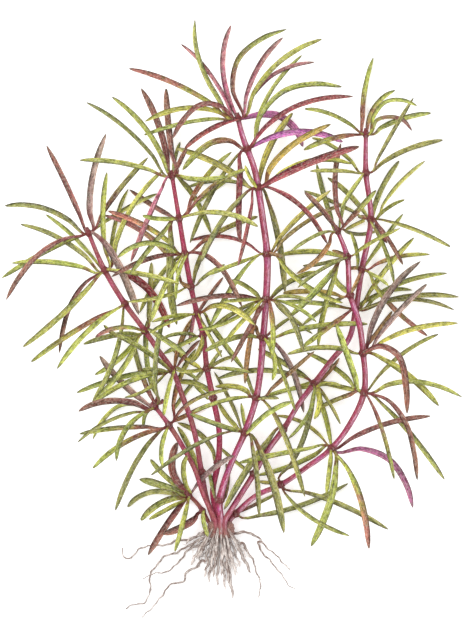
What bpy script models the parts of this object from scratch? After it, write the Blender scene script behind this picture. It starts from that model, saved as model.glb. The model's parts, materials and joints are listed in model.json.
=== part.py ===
"""Pogostemon stellatus, picked with its roots and laid on its back.

Six long stems and a side shoot rise from one root crown. At each joint a stem carries a whorl
of narrow leaves. The plant lies on z = 0 with its stems along +Y, and +Z points to the viewer.
The routes are read off the photograph, in its own pixels, x to the right and y down.
"""

import math

import bmesh
import bpy
import numpy as np
from mathutils import Vector

# One pixel of the photograph, and the pixel that lies on the plant's own axes.
PIXEL = 0.0006
PHOTO_CENTRE = (231.5, 319.126)

# Clear space between any two pieces.
GAP = 0.0003

# A leaf's full length, its thickness at the keel, and how steeply it may leave the plane of the stems.
LEAF_LENGTH = 0.053
LEAF_THICKNESS = 0.0007
LEAF_RINGS = (0.22, 0.52, 0.84)
LEAF_WIDTHS = (0.88, 1.0, 0.66)
SHORT_LEAF = 0.030
STEEPEST = 0.75

# How far a leaf may bend up or down to clear its neighbours, and the highest it may reach.
MOST_LIFT = 0.018
HIGHEST = 0.062

# The swollen ring of a stem that a whorl grows from.
JOINT_HEIGHT = 0.0024
JOINT_WALL = 0.0008
WIDEST_FACET = math.radians(60)

STEM_SIDES = 5
ROOT_SIDES = 4

# The root crown, a lump as wide as the stems that meet on it.
CROWN_CENTRE = (222.0, 528.0)
CROWN_HEIGHT = 0.0078
CROWN_HALF_SIZES = (0.0094, 0.0066, 0.0070)
CROWN_CLEARANCE = 1.04

LEAF_GREEN = (0.24, 0.27, 0.05)
LEAF_MAROON = (0.20, 0.07, 0.08)
STEM_CRIMSON = (0.42, 0.06, 0.14)
ROOT_GREY = (0.55, 0.50, 0.44)
CROWN_BROWN = (0.30, 0.22, 0.16)

# The whorls at the growing tips, which are redder than the rest.
MAROON_WHORLS = (
    "leaves_tall_1", "leaves_left_1", "leaves_left_2", "leaves_far_left_1", "leaves_low_left_1",
    "leaves_low_left_2", "leaves_right_1", "leaves_low_right_4", "leaves_base_left",
)

# Each stem from its tip down to the crown: x and y in pixels, then height and thickness in millimetres.
STEMS = {
    "stem_tall": (
        (237, 113, 26, 2.2), (241, 132, 26, 3.2), (254, 168, 27, 3.7), (262, 215, 28, 4.0),
        (267, 254, 28, 4.1), (266, 299, 28, 4.0), (263, 338, 27, 3.9), (256, 398, 25, 3.7),
        (245, 432, 23, 3.7), (230, 466, 19, 3.7), (222, 490, 16, 3.9), (219, 508, 13.5, 4.2),
        (220, 515, 12.5, 4.2),
    ),
    "stem_left": (
        (171, 170, 21, 2.2), (179, 218, 21, 2.9), (185, 254, 20, 3.1), (191, 287, 20, 3.1),
        (197, 313, 19, 3.1), (203, 335, 18, 3.2), (207, 369, 17, 3.3), (213, 398, 15, 3.3),
        (219, 430, 13, 3.5), (218, 463, 11, 3.6), (213, 488, 9, 3.6), (214, 507, 8, 3.5),
        (216, 516, 8, 3.3),
    ),
    "stem_far_left": (
        (86, 227, 17, 2.3), (105, 271, 17, 3.0), (125, 304, 17, 3.1), (145, 331, 16, 3.1),
        (158, 350, 15, 3.2), (172, 370, 14, 3.2), (183, 398, 13, 3.2), (191, 420, 12, 3.2),
        (197, 445, 11, 3.2), (201, 470, 9, 3.3), (205, 492, 7, 3.3), (208, 508, 5, 3.2),
        (212, 517, 4.4, 3.0),
    ),
    "stem_low_left": (
        (152, 403, 21, 2.2), (160, 413, 21, 2.6), (169, 425, 20, 2.8), (181, 444, 18, 2.9),
        (191, 461, 16, 2.9), (198, 478, 14.5, 2.9), (203, 494, 13.5, 2.9), (209, 508, 12, 2.9),
        (213, 516, 11.5, 2.8),
    ),
    "stem_right": (
        (366, 128, 18, 2.3), (366, 173, 18, 3.2), (371, 219, 17, 3.3), (362, 269, 15, 3.3),
        (356, 309, 12, 3.3), (348, 341, 12, 3.3), (332, 360, 12, 3.3), (314, 384, 12, 3.3),
        (303, 398, 12, 3.3), (283, 430, 11, 3.3), (268, 450, 10.5, 3.4), (254, 474, 10, 3.4),
        (242, 493, 11, 3.4), (233, 507, 12.5, 3.4), (228, 515, 12.5, 3.3),
    ),
    "stem_low_right": (
        (335, 225, 26, 2.3), (347, 257, 26, 3.1), (350, 295, 25, 3.3), (357, 315, 24, 3.4),
        (363, 353, 23, 3.5), (364, 392, 21, 3.5), (350, 424, 19, 3.4), (331, 449, 17, 3.3),
        (306, 468, 13, 3.2), (281, 485, 9, 3.2), (260, 494, 6.5, 3.2), (244, 506, 5.5, 3.2),
        (234, 516, 5.5, 3.2),
    ),
    "side_shoot": (
        (186, 494, 4.5, 1.8), (191, 498, 4.2, 2.2), (198, 505, 3.2, 2.4), (203, 513, 2.8, 2.4),
        (207, 520, 3.0, 2.2),
    ),
}

# Each whorl: its stem, the joint it grows from, then every leaf's tip, its middle and its width in pixels.
WHORLS = {
    "leaves_tall_1": ("stem_tall", (238, 119), (
        (195, 19, 203, 68, 5), (181, 44, 210, 73, 4), (129, 69, 183, 87, 5), (231, 25, 223, 70, 5),
        (287, 29, 236, 62, 5), (283, 38, 255, 72, 5), (322, 39, 272, 68, 5), (315, 62, 268, 78, 4),
        (303, 146, 282, 117, 7), (172, 141, 203, 105, 5), (145, 122, 192, 108, 5),
        (144, 135, 195, 121, 4), (185, 150, 209, 131, 5),
    )),
    "leaves_tall_2": ("stem_tall", (248, 148), (
        (302, 55, 266, 98, 4), (342, 87, 279, 94, 5), (353, 97, 291, 109, 5), (343, 142, 296, 132, 6),
        (183, 171, 216, 142, 6), (190, 243, 216, 187, 5), (240, 243, 240, 200, 6),
    )),
    "leaves_tall_3": ("stem_tall", (258, 188), (
        (293, 112, 268, 150, 6), (331, 124, 282, 153, 6), (359, 147, 307, 164, 7),
        (352, 164, 305, 162, 5), (327, 244, 298, 205, 5), (285, 292, 276, 231, 6),
        (176, 148, 221, 165, 6), (201, 262, 226, 217, 5), (245, 166, 250, 177, 3),
        (238, 266, 249, 225, 4), (186, 187, 222, 180, 4),
    )),
    "leaves_tall_4": ("stem_tall", (267, 254), (
        (190, 240, 230, 237, 4), (205, 276, 237, 264, 4), (210, 327, 240, 277, 5),
        (331, 190, 291, 224, 5), (345, 203, 299, 226, 4), (343, 303, 305, 286, 5),
        (283, 257, 275, 255, 3),
    )),
    "leaves_tall_5": ("stem_tall", (266, 299), (
        (318, 271, 290, 281, 5), (312, 302, 288, 296, 3), (313, 334, 290, 317, 4),
        (303, 352, 288, 315, 5), (272, 356, 272, 325, 5), (232, 280, 248, 287, 5),
        (176, 306, 222, 296, 5), (222, 302, 243, 300, 3), (204, 335, 236, 312, 4),
        (225, 342, 243, 321, 4), (231, 362, 250, 327, 5), (245, 384, 252, 335, 5),
        (198, 330, 233, 320, 4), (316, 322, 293, 306, 4),
    )),
    "leaves_tall_6": ("stem_tall", (263, 338), (
        (292, 317, 278, 326, 4), (368, 324, 315, 326, 5), (304, 413, 289, 365, 6),
        (272, 380, 274, 358, 5), (256, 325, 258, 331, 3), (245, 333, 254, 336, 3),
        (205, 351, 237, 337, 5), (295, 411, 281, 372, 3),
    )),
    "leaves_tall_7": ("stem_tall", (256, 398), (
        (215, 387, 240, 388, 6), (192, 412, 226, 400, 4), (314, 351, 286, 374, 4),
        (279, 398, 268, 397, 3), (322, 386, 291, 389, 4), (305, 497, 281, 430, 5),
        (246, 371, 250, 384, 4),
    )),
    "leaves_tall_8": ("stem_tall", (245, 432), (
        (214, 372, 231, 402, 4), (241, 403, 243, 416, 3), (190, 413, 221, 425, 5),
        (151, 475, 203, 442, 4), (217, 401, 229, 418, 5), (292, 401, 268, 412, 5),
        (284, 533, 269, 474, 7), (259, 515, 255, 468, 5),
    )),
    "leaves_left_1": ("stem_left", (172, 176), (
        (141, 88, 160, 128, 6), (166, 88, 168, 130, 6), (112, 97, 148, 131, 5), (86, 102, 130, 131, 4),
        (79, 160, 125, 163, 5), (187, 149, 180, 161, 5), (180, 141, 175, 157, 3),
        (228, 177, 200, 180, 5), (211, 233, 193, 196, 5), (131, 262, 153, 209, 5),
    )),
    "leaves_left_2": ("stem_left", (179, 218), (
        (129, 189, 155, 206, 5), (232, 151, 203, 179, 5), (248, 169, 211, 187, 4),
        (232, 177, 205, 195, 4), (258, 227, 220, 213, 5), (143, 216, 160, 219, 5),
        (130, 275, 153, 246, 5), (177, 325, 171, 275, 7),
    )),
    "leaves_left_3": ("stem_left", (185, 254), (
        (112, 277, 149, 259, 5), (258, 216, 219, 231, 5), (108, 211, 152, 229, 5),
        (118, 258, 149, 243, 5), (242, 307, 216, 264, 5), (139, 313, 160, 276, 5),
        (151, 322, 166, 285, 5), (176, 300, 178, 275, 4),
    )),
    "leaves_left_4": ("stem_left", (191, 287), (
        (222, 222, 202, 253, 5), (225, 264, 207, 274, 4), (180, 282, 186, 285, 3),
        (104, 215, 155, 240, 5), (128, 302, 165, 296, 4),
    )),
    "leaves_left_5": ("stem_left", (197, 313), (
        (223, 277, 208, 297, 4), (255, 325, 225, 306, 6), (189, 345, 192, 330, 4),
        (152, 322, 173, 316, 3), (222, 357, 209, 335, 4), (244, 370, 221, 341, 5),
        (150, 333, 170, 322, 4),
    )),
    "leaves_left_6": ("stem_left", (203, 335), (
        (233, 312, 218, 323, 4), (163, 338, 183, 333, 3), (163, 354, 185, 343, 5),
        (188, 363, 199, 352, 6),
    )),
    "leaves_left_7": ("stem_left", (207, 369), (
        (172, 350, 190, 361, 5), (176, 370, 190, 371, 3), (172, 412, 190, 387, 4),
        (236, 356, 220, 361, 4), (250, 372, 230, 369, 4), (222, 350, 214, 359, 3),
    )),
    "leaves_left_8": ("stem_left", (213, 398), (
        (177, 382, 199, 385, 6), (194, 386, 204, 393, 3),
    )),
    "leaf_left_9": ("stem_left", (218, 463), (
        (177, 423, 205, 439, 5),
    )),
    "leaves_far_left_1": ("stem_far_left", (89, 233), (
        (46, 145, 68, 188, 5), (106, 133, 90, 185, 6), (5, 206, 48, 209, 5), (148, 157, 115, 194, 5),
        (6, 300, 42, 252, 5), (1, 278, 48, 250, 5), (157, 193, 122, 210, 4), (139, 315, 114, 258, 7),
    )),
    "leaves_far_left_2": ("stem_far_left", (105, 271), (
        (20, 224, 64, 240, 5), (11, 263, 58, 262, 5), (59, 353, 74, 299, 5), (23, 347, 66, 311, 6),
        (45, 214, 75, 238, 4), (107, 172, 102, 222, 5), (163, 170, 128, 212, 5),
        (128, 188, 115, 220, 4), (169, 328, 144, 286, 7), (180, 284, 145, 275, 5),
    )),
    "leaves_far_left_3": ("stem_far_left", (125, 304), (
        (31, 362, 78, 329, 5), (57, 369, 88, 331, 5), (92, 402, 115, 356, 5),
    )),
    "leaves_far_left_4": ("stem_far_left", (145, 331), (
        (96, 337, 120, 327, 5), (84, 344, 114, 335, 5), (94, 375, 120, 358, 5), (103, 325, 125, 339, 4),
        (151, 262, 149, 298, 5), (92, 403, 122, 370, 5), (186, 354, 166, 341, 6),
    )),
    "leaves_far_left_5": ("stem_far_left", (172, 370), (
        (195, 316, 181, 340, 5), (200, 340, 187, 353, 4), (76, 393, 126, 376, 5),
        (95, 402, 130, 381, 5), (125, 397, 147, 389, 4), (142, 369, 157, 369, 3),
        (164, 415, 167, 394, 5), (199, 380, 186, 373, 3), (112, 333, 142, 348, 5),
    )),
    "leaf_far_left_6": ("stem_far_left", (201, 472), (
        (177, 427, 187, 443, 5),
    )),
    "leaves_low_left_1": ("stem_low_left", (155, 407), (
        (99, 356, 125, 386, 6), (79, 411, 113, 400, 6), (92, 440, 117, 407, 4), (78, 442, 112, 419, 4),
        (117, 460, 127, 428, 5), (143, 428, 146, 414, 4), (147, 320, 146, 362, 5),
        (131, 334, 140, 371, 5), (164, 318, 155, 362, 5), (157, 396, 156, 401, 3),
        (163, 399, 160, 403, 3),
    )),
    "leaves_low_left_2": ("stem_low_left", (169, 425), (
        (79, 434, 122, 427, 5), (93, 468, 127, 441, 5), (115, 511, 139, 458, 5),
        (163, 466, 162, 446, 5), (214, 403, 190, 414, 5), (229, 389, 192, 401, 4),
        (196, 349, 177, 384, 5),
    )),
    "leaves_right_1": ("stem_right", (366, 134), (
        (374, 56, 365, 95, 5), (396, 89, 375, 106, 5), (416, 107, 384, 103, 4), (413, 130, 388, 112, 4),
        (432, 112, 398, 119, 5), (304, 110, 334, 116, 4), (303, 151, 333, 139, 5),
    )),
    "leaves_right_2": ("stem_right", (366, 173), (
        (414, 97, 387, 140, 4), (444, 139, 402, 151, 5), (309, 172, 338, 171, 4),
        (312, 137, 338, 148, 4), (340, 210, 351, 192, 5),
    )),
    "leaves_right_3": ("stem_right", (371, 219), (
        (400, 160, 381, 190, 5), (426, 160, 395, 187, 4), (404, 200, 388, 207, 4),
        (450, 247, 409, 228, 4), (402, 265, 387, 239, 4), (388, 243, 380, 232, 3),
        (358, 217, 364, 217, 3), (328, 177, 350, 194, 5), (345, 230, 357, 224, 4),
        (304, 190, 338, 203, 4), (393, 283, 386, 253, 4),
    )),
    "leaves_right_4": ("stem_right", (362, 269), (
        (404, 213, 382, 242, 4), (431, 254, 395, 257, 4), (428, 336, 388, 303, 5),
        (388, 286, 378, 278, 3), (347, 269, 355, 268, 3), (350, 232, 357, 249, 4),
        (351, 293, 357, 281, 4),
    )),
    "leaves_right_5": ("stem_right", (356, 309), (
        (448, 273, 397, 284, 5), (460, 297, 408, 296, 5), (455, 310, 408, 299, 4),
        (413, 290, 385, 292, 4), (415, 237, 385, 270, 5), (281, 302, 315, 303, 5),
        (302, 347, 328, 328, 5),
    )),
    "leaves_right_6": ("stem_right", (314, 384), (
        (217, 379, 265, 371, 5), (258, 349, 287, 365, 5), (265, 397, 290, 390, 4),
        (340, 424, 330, 405, 4), (314, 419, 319, 403, 6), (342, 387, 329, 383, 5),
        (288, 438, 309, 412, 4), (340, 358, 326, 376, 3),
    )),
    "leaf_right_7": ("stem_right", (283, 430), (
        (224, 510, 252, 464, 6),
    )),
    "leaf_right_8": ("stem_right", (254, 474), (
        (219, 447, 239, 465, 4),
    )),
    "leaves_low_right_1": ("stem_low_right", (338, 231), (
        (317, 163, 325, 196, 5), (341, 143, 334, 185, 5), (304, 193, 321, 210, 5),
        (290, 252, 317, 235, 4), (296, 274, 321, 256, 5), (375, 191, 356, 212, 5),
        (379, 230, 358, 234, 4), (347, 195, 342, 212, 4),
    )),
    "leaves_low_right_2": ("stem_low_right", (347, 257), (
        (280, 255, 313, 251, 5), (289, 317, 321, 286, 6), (318, 347, 327, 303, 5),
        (302, 266, 320, 264, 4), (297, 288, 320, 270, 3), (399, 229, 373, 241, 3),
        (332, 250, 340, 253, 3),
    )),
    "leaves_low_right_3": ("stem_low_right", (350, 295), (
        (283, 293, 317, 291, 5), (330, 270, 339, 285, 6), (303, 325, 328, 306, 4),
    )),
    "leaves_low_right_4": ("stem_low_right", (363, 353), (
        (421, 261, 384, 300, 6), (393, 311, 382, 327, 4), (458, 323, 405, 331, 5),
        (406, 413, 396, 353, 6), (287, 354, 325, 347, 5), (439, 406, 404, 373, 6),
        (427, 284, 392, 318, 5),
    )),
    "leaves_low_right_5": ("stem_low_right", (364, 392), (
        (439, 334, 398, 357, 4), (462, 397, 412, 381, 5), (335, 323, 349, 358, 6),
        (307, 353, 337, 369, 5), (315, 381, 340, 387, 5), (318, 409, 338, 400, 5),
        (417, 480, 401, 416, 5), (394, 479, 381, 428, 4), (445, 480, 404, 427, 5),
    )),
    "leaves_low_right_6": ("stem_low_right", (331, 448), (
        (413, 508, 386, 457, 6), (369, 549, 357, 489, 6), (311, 547, 331, 495, 7),
        (326, 493, 329, 470, 5), (238, 463, 283, 454, 5), (258, 476, 297, 465, 5),
        (315, 386, 326, 418, 5), (277, 416, 306, 425, 4), (431, 416, 378, 426, 5),
    )),
    "leaves_low_right_7": ("stem_low_right", (281, 484), (
        (389, 530, 333, 501, 5), (350, 536, 308, 515, 4), (314, 390, 303, 443, 5),
        (259, 482, 269, 484, 3),
    )),
    "leaves_low_right_8": ("stem_low_right", (236, 514), (
        (349, 484, 292, 508, 5), (277, 494, 260, 503, 4),
    )),
    "leaves_side_shoot": ("side_shoot", (189, 496), (
        (150, 460, 167, 479, 5), (139, 480, 162, 486, 7), (127, 508, 152, 492, 5),
        (141, 520, 162, 502, 6), (149, 519, 167, 509, 5), (187, 455, 183, 474, 6),
        (175, 551, 183, 522, 5), (148, 555, 168, 523, 6), (234, 455, 208, 473, 5),
        (177, 443, 172, 473, 7),
    )),
    "leaves_base_left": ("side_shoot", (203, 511), (
        (163, 534, 188, 524, 8), (208, 537, 203, 521, 5),
    )),
    "leaves_base_front": ("stem_tall", (220, 500), (
        (226, 464, 227, 482, 4), (209, 470, 213, 486, 3),
    )),
}

# Long roots from the crown outwards: x and y in pixels, then height and thickness in millimetres.
ROOTS = {
    "root_left_1": (
        (204, 534, 5.0, 1.4), (190, 540, 3.0, 1.2), (176, 542, 1.2, 1.1), (160, 547, 0.8, 1.0),
        (144, 547, 0.7, 0.9), (135, 554, 0.7, 0.9), (128, 560, 0.7, 0.9), (122, 557, 0.7, 0.8),
        (121, 549, 0.7, 0.7),
    ),
    "root_left_2": (
        (205, 538, 3.6, 1.4), (196, 542, 2.6, 1.2), (182, 551, 1.6, 1.1), (166, 557, 1.0, 1.0),
        (156, 566, 0.8, 1.0), (149, 580, 0.7, 0.9), (150, 592, 0.7, 0.9), (142, 605, 0.7, 0.8),
        (133, 606, 0.7, 0.8), (125, 610, 0.7, 0.7),
    ),
    "root_left_3": (
        (207, 542, 1.9, 1.3), (200, 545, 1.6, 1.2), (190, 550, 1.3, 1.1), (182, 558, 1.0, 1.0),
        (176, 566, 0.8, 0.9), (170, 571, 1.0, 0.8), (158, 574, 1.9, 0.7), (151, 576, 2.3, 0.7),
        (142, 579, 1.7, 0.6),
    ),
    "root_left_4": (
        (201, 562, 1.2, 1.2), (196, 568, 0.9, 1.1), (188, 572, 0.8, 1.1), (183, 582, 0.8, 1.0),
        (168, 587, 0.7, 0.9), (160, 600, 0.7, 0.8), (150, 610, 0.7, 0.7), (142, 619, 0.7, 0.6),
    ),
    "root_right_1": (
        (238, 534, 4.0, 1.3), (249, 533, 2.6, 1.2), (257, 538, 1.4, 1.1), (263, 544, 0.9, 0.9),
        (272, 553, 0.7, 0.8), (282, 562, 0.7, 0.8), (290, 571, 0.7, 0.6),
    ),
    "root_right_2": (
        (258, 544, 1.2, 1.0), (263, 554, 0.9, 0.9), (270, 562, 0.7, 0.8), (280, 573, 0.7, 0.7),
        (286, 583, 0.7, 0.6), (295, 590, 0.7, 0.5),
    ),
    "root_right_3": (
        (244, 545, 1.6, 1.2), (249, 555, 1.0, 1.0), (254, 564, 0.8, 0.9), (258, 578, 0.7, 0.8),
        (261, 590, 0.7, 0.7), (258, 599, 0.7, 0.6),
    ),
}

# Short roots of the brush under the crown: tip x and y in pixels, tip height in millimetres.
SHORT_ROOTS = (
    (190, 566, 3.2), (204, 579, 2.4),
    (208, 584, 0.8), (213, 578, 3.4), (217, 587, 0.8), (222, 577, 4.4), (225, 592, 0.8),
    (229, 584, 3.0), (233, 600, 0.8), (236, 577, 2.0), (240, 568, 0.8), (246, 563, 2.8),
    (251, 574, 0.8), (197, 560, 5.0), (232, 566, 5.2), (211, 568, 5.6),
)


def place(x, y, z=0.0):
    """A photo pixel and a height, as a point of the plant lying down."""
    return np.array(((x - PHOTO_CENTRE[0]) * PIXEL, (PHOTO_CENTRE[1] - y) * PIXEL, z))


def clear_scene():
    for obj in list(bpy.data.objects):
        bpy.data.objects.remove(obj, do_unlink=True)


def material(name, colour, roughness):
    mat = bpy.data.materials.new(name)
    mat.use_nodes = True
    shader = mat.node_tree.nodes["Principled BSDF"]
    shader.inputs["Base Color"].default_value = (*colour, 1.0)
    shader.inputs["Roughness"].default_value = roughness
    shader.inputs["Metallic"].default_value = 0.0
    return mat


class Route:
    """A smooth line through hand-read points, each with a height and a thickness."""

    def __init__(self, rows):
        self.points = np.array([place(x, y, z * 0.001) for x, y, z, _ in rows])
        self.radii = np.array([row[3] for row in rows]) * 0.0005
        steps = np.linalg.norm(np.diff(self.points, axis=0), axis=1)
        self.along = np.concatenate(([0.0], np.cumsum(steps)))
        self.slopes = np.gradient(self.points, self.along, axis=0)
        self.length = self.along[-1]

    def at(self, distance):
        """The centre at this distance from the first point, by cubic Hermite pieces."""
        i = int(np.clip(np.searchsorted(self.along, distance) - 1, 0, len(self.along) - 2))
        span = self.along[i + 1] - self.along[i]
        t = (distance - self.along[i]) / span
        a = (2 * t**3 - 3 * t**2 + 1) * self.points[i]
        b = (t**3 - 2 * t**2 + t) * span * self.slopes[i]
        c = (3 * t**2 - 2 * t**3) * self.points[i + 1]
        d = (t**3 - t**2) * span * self.slopes[i + 1]
        return a + b + c + d

    def radius(self, distance):
        return float(np.interp(distance, self.along, self.radii))

    def nearest(self, target):
        """The distance along the line where it passes nearest to this point of the plan."""
        tries = np.linspace(0.0, self.length, 400)
        gaps = [np.hypot(*(self.at(d)[:2] - target[:2])) for d in tries]
        return float(tries[int(np.argmin(gaps))])


def tube(points, radii, sides):
    """A closed tube of flat sides round a line of points, as a bmesh."""
    shape = bmesh.new()
    rings = []
    across = None
    for i, (point, radius) in enumerate(zip(points, radii)):
        before = points[max(i - 1, 0)]
        after = points[min(i + 1, len(points) - 1)]
        along = Vector(after - before).normalized()
        if across is None:
            across = along.orthogonal().normalized()
        across = (across - along * across.dot(along)).normalized()
        up = along.cross(across)
        ring = []
        for k in range(sides):
            turn = 2 * math.pi * k / sides
            offset = across * math.cos(turn) + up * math.sin(turn)
            ring.append(shape.verts.new(Vector(point) + offset * radius))
        rings.append(ring)
    for low, high in zip(rings, rings[1:]):
        for k in range(sides):
            following = (k + 1) % sides
            shape.faces.new((low[k], low[following], high[following], high[k]))
    shape.faces.new(rings[0][::-1])
    shape.faces.new(rings[-1])
    return shape


def finish(shape, name, mat, parent, smooth=True):
    """Turns a bmesh into a named object under the plant's empty."""
    bmesh.ops.recalc_face_normals(shape, faces=shape.faces)
    bmesh.ops.triangulate(shape, faces=shape.faces)
    mesh = bpy.data.meshes.new(name)
    shape.to_mesh(mesh)
    shape.free()
    mesh.materials.append(mat)
    if smooth:
        mesh.shade_smooth()
        mesh.set_sharp_from_angle(angle=math.radians(60))
    obj = bpy.data.objects.new(name, mesh)
    bpy.context.collection.objects.link(obj)
    obj.parent = parent
    return obj


def stem_line(route, joints):
    """Distances along a stem for its rings: a short straight run through each joint, and a few between."""
    half = JOINT_HEIGHT / 2 + 0.0003
    marks = {0.0, route.length}
    for joint in joints:
        marks.add(max(joint - half, 0.0))
        marks.add(min(joint + half, route.length))
    ordered = sorted(marks)
    extra = []
    for low, high in zip(ordered, ordered[1:]):
        pieces = int((high - low) / 0.020) + 1
        extra += [low + (high - low) * k / pieces for k in range(1, pieces)]
    return sorted(ordered + extra)


def meet_crown(route):
    """How far past its last point a stem runs before the rim of its end comes close to the crown."""
    centre = place(*CROWN_CENTRE, CROWN_HEIGHT)
    end = route.points[-1]
    along = (end - route.points[-2]) / np.linalg.norm(end - route.points[-2])
    side = np.cross(along, (0.0, 0.0, 1.0))
    side /= np.linalg.norm(side)
    up = np.cross(side, along)
    turns = np.linspace(0.0, 2 * math.pi, 24, endpoint=False)[:, None]
    rim = (side * np.cos(turns) + up * np.sin(turns)) * route.radii[-1]
    halves = np.array(CROWN_HALF_SIZES)
    for step in np.arange(-0.006, 0.006, 0.00005):
        spots = (end + along * step + rim - centre) / halves
        if np.linalg.norm(spots, axis=1).min() < CROWN_CLEARANCE:
            break
    return along * step


class Joint:
    """The swollen ring of a stem that one whorl grows from, and where each leaf leaves it."""

    def __init__(self, name, route, pixel, leaves):
        self.name = name
        self.leaves = leaves
        self.where = route.nearest(place(*pixel))
        half = JOINT_HEIGHT / 2 + 0.0003
        self.where = min(max(self.where, half), route.length - half)
        top = route.at(self.where - half)
        bottom = route.at(self.where + half)
        self.centre = (top + bottom) / 2
        self.axis = (top - bottom) / np.linalg.norm(top - bottom)
        self.side = np.cross(self.axis, (0.0, 0.0, 1.0))
        self.side /= np.linalg.norm(self.side)
        self.up = np.cross(self.side, self.axis)
        self.stem_radius = max(route.radius(self.where - half), route.radius(self.where + half))
        self.inner = (self.stem_radius + GAP) / math.cos(WIDEST_FACET / 2)
        self.outer = self.inner + JOINT_WALL

    def direction(self, turn):
        return self.side * math.cos(turn) + self.up * math.sin(turn)

    def spread(self, wanted):
        """The facets' angles: each leaf's own, pushed apart until the bases have room."""
        order = np.argsort(wanted)
        turns = np.array(wanted, float)[order]
        count = len(turns)
        room = 2 * math.pi / (count + 1.5)
        for _ in range(400):
            gaps = np.diff(np.append(turns, turns[0] + 2 * math.pi))
            short = np.maximum(room - gaps, 0.0) / 2
            turns = turns - short + np.roll(short, 1)
        return order, turns


def leaf_heights(joint, leaf, index):
    """How far a leaf's tip stands above or below its joint, from how much its length is foreshortened."""
    tip = place(leaf[0], leaf[1])
    flat = np.hypot(*(tip - joint.centre)[:2])
    hidden = math.sqrt(max(LEAF_LENGTH**2 - flat**2, 0.0))
    rise = min(0.6 * hidden + 0.0035, STEEPEST * flat)
    towards_roots = tip[1] < joint.centre[1]
    front = towards_roots == (index % 3 != 2)
    return rise if front else -rise


class Leaves:
    """Every leaf as a chain of five points: its base on the joint, three rings and its tip."""

    def __init__(self, joints):
        self.chains = []
        self.widths = []
        self.whorls = []
        for number, joint in enumerate(joints):
            joint.first = len(self.chains)
            rises = [leaf_heights(joint, leaf, i) for i, leaf in enumerate(joint.leaves)]
            turns = []
            for leaf, rise in zip(joint.leaves, rises):
                towards = place(leaf[2], leaf[3]) - joint.centre
                towards[2] = 0.6 * rise
                turns.append(math.atan2(towards @ joint.up, towards @ joint.side))
            order, joint.turns = joint.spread(turns)
            joint.order = list(order)
            for i, (leaf, rise) in enumerate(zip(joint.leaves, rises)):
                turn = joint.turns[joint.order.index(i)]
                base = joint.centre + joint.direction(turn) * joint.outer * 0.97
                self.chains.append(self.chain(joint, leaf, base, rise))
                self.widths.append(leaf[4] * PIXEL)
                self.whorls.append(number)
        self.chains = np.array(self.chains)
        self.widths = np.array(self.widths)
        self.whorls = np.array(self.whorls)
        taper = np.array((0.0, *LEAF_WIDTHS, 0.0))
        self.halves = 0.5 * self.widths[:, None] * taper
        self.halves[:, 0] = 0.0011
        flat = np.linalg.norm((self.chains[:, 4] - self.chains[:, 0])[:, :2], axis=1)
        self.short = flat < SHORT_LEAF
        self.above = np.tile((0.0011, 0.0, 0.0, 0.0, 0.0), (len(self.chains), 1))
        self.below = np.tile((0.0011, 1.0, 0.9, 0.75, 0.1), (len(self.chains), 1))
        self.below[:, 1:] *= LEAF_THICKNESS
        for values in (self.chains, self.halves, self.below):
            self.straighten(values)

    def straighten(self, values):
        """A short leaf has no middle ring, so its third point lies between the second and the fourth."""
        share = (LEAF_RINGS[1] - LEAF_RINGS[0]) / (LEAF_RINGS[2] - LEAF_RINGS[0])
        values[self.short, 2] = (1 - share) * values[self.short, 1] + share * values[self.short, 3]

    @staticmethod
    def chain(joint, leaf, base, rise):
        tip = place(leaf[0], leaf[1])
        middle = place(leaf[2], leaf[3])
        bend = 2 * middle - (joint.centre + tip) / 2
        points = [base]
        for t in (*LEAF_RINGS, 1.0):
            point = (1 - t) ** 2 * base + 2 * t * (1 - t) * bend + t**2 * tip
            lift = rise * (1.35 * t - 0.35 * t * t)
            if rise < 0:
                lift = 1.3 * rise * min(t / 0.8, 1.0)
            point[2] = max(base[2] + lift, LEAF_THICKNESS)
            points.append(point)
        return points


def inside_strip(points, start, end, half_start, half_end):
    """Which points of the plan lie on a tapering strip, and how far along it."""
    run = end - start
    length = max(run @ run, 1e-12)
    reach = max(half_start, half_end)
    low = np.minimum(start, end) - reach
    high = np.maximum(start, end) + reach
    near = np.nonzero(((points > low) & (points < high)).all(axis=1))[0]
    offsets = points[near] - start
    share = np.clip(offsets @ run / length, 0.0, 1.0)
    away = np.linalg.norm(offsets - share[:, None] * run, axis=1)
    width = half_start + (half_end - half_start) * share
    hit = away < width
    return near[hit], share[hit], away[hit]


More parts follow.
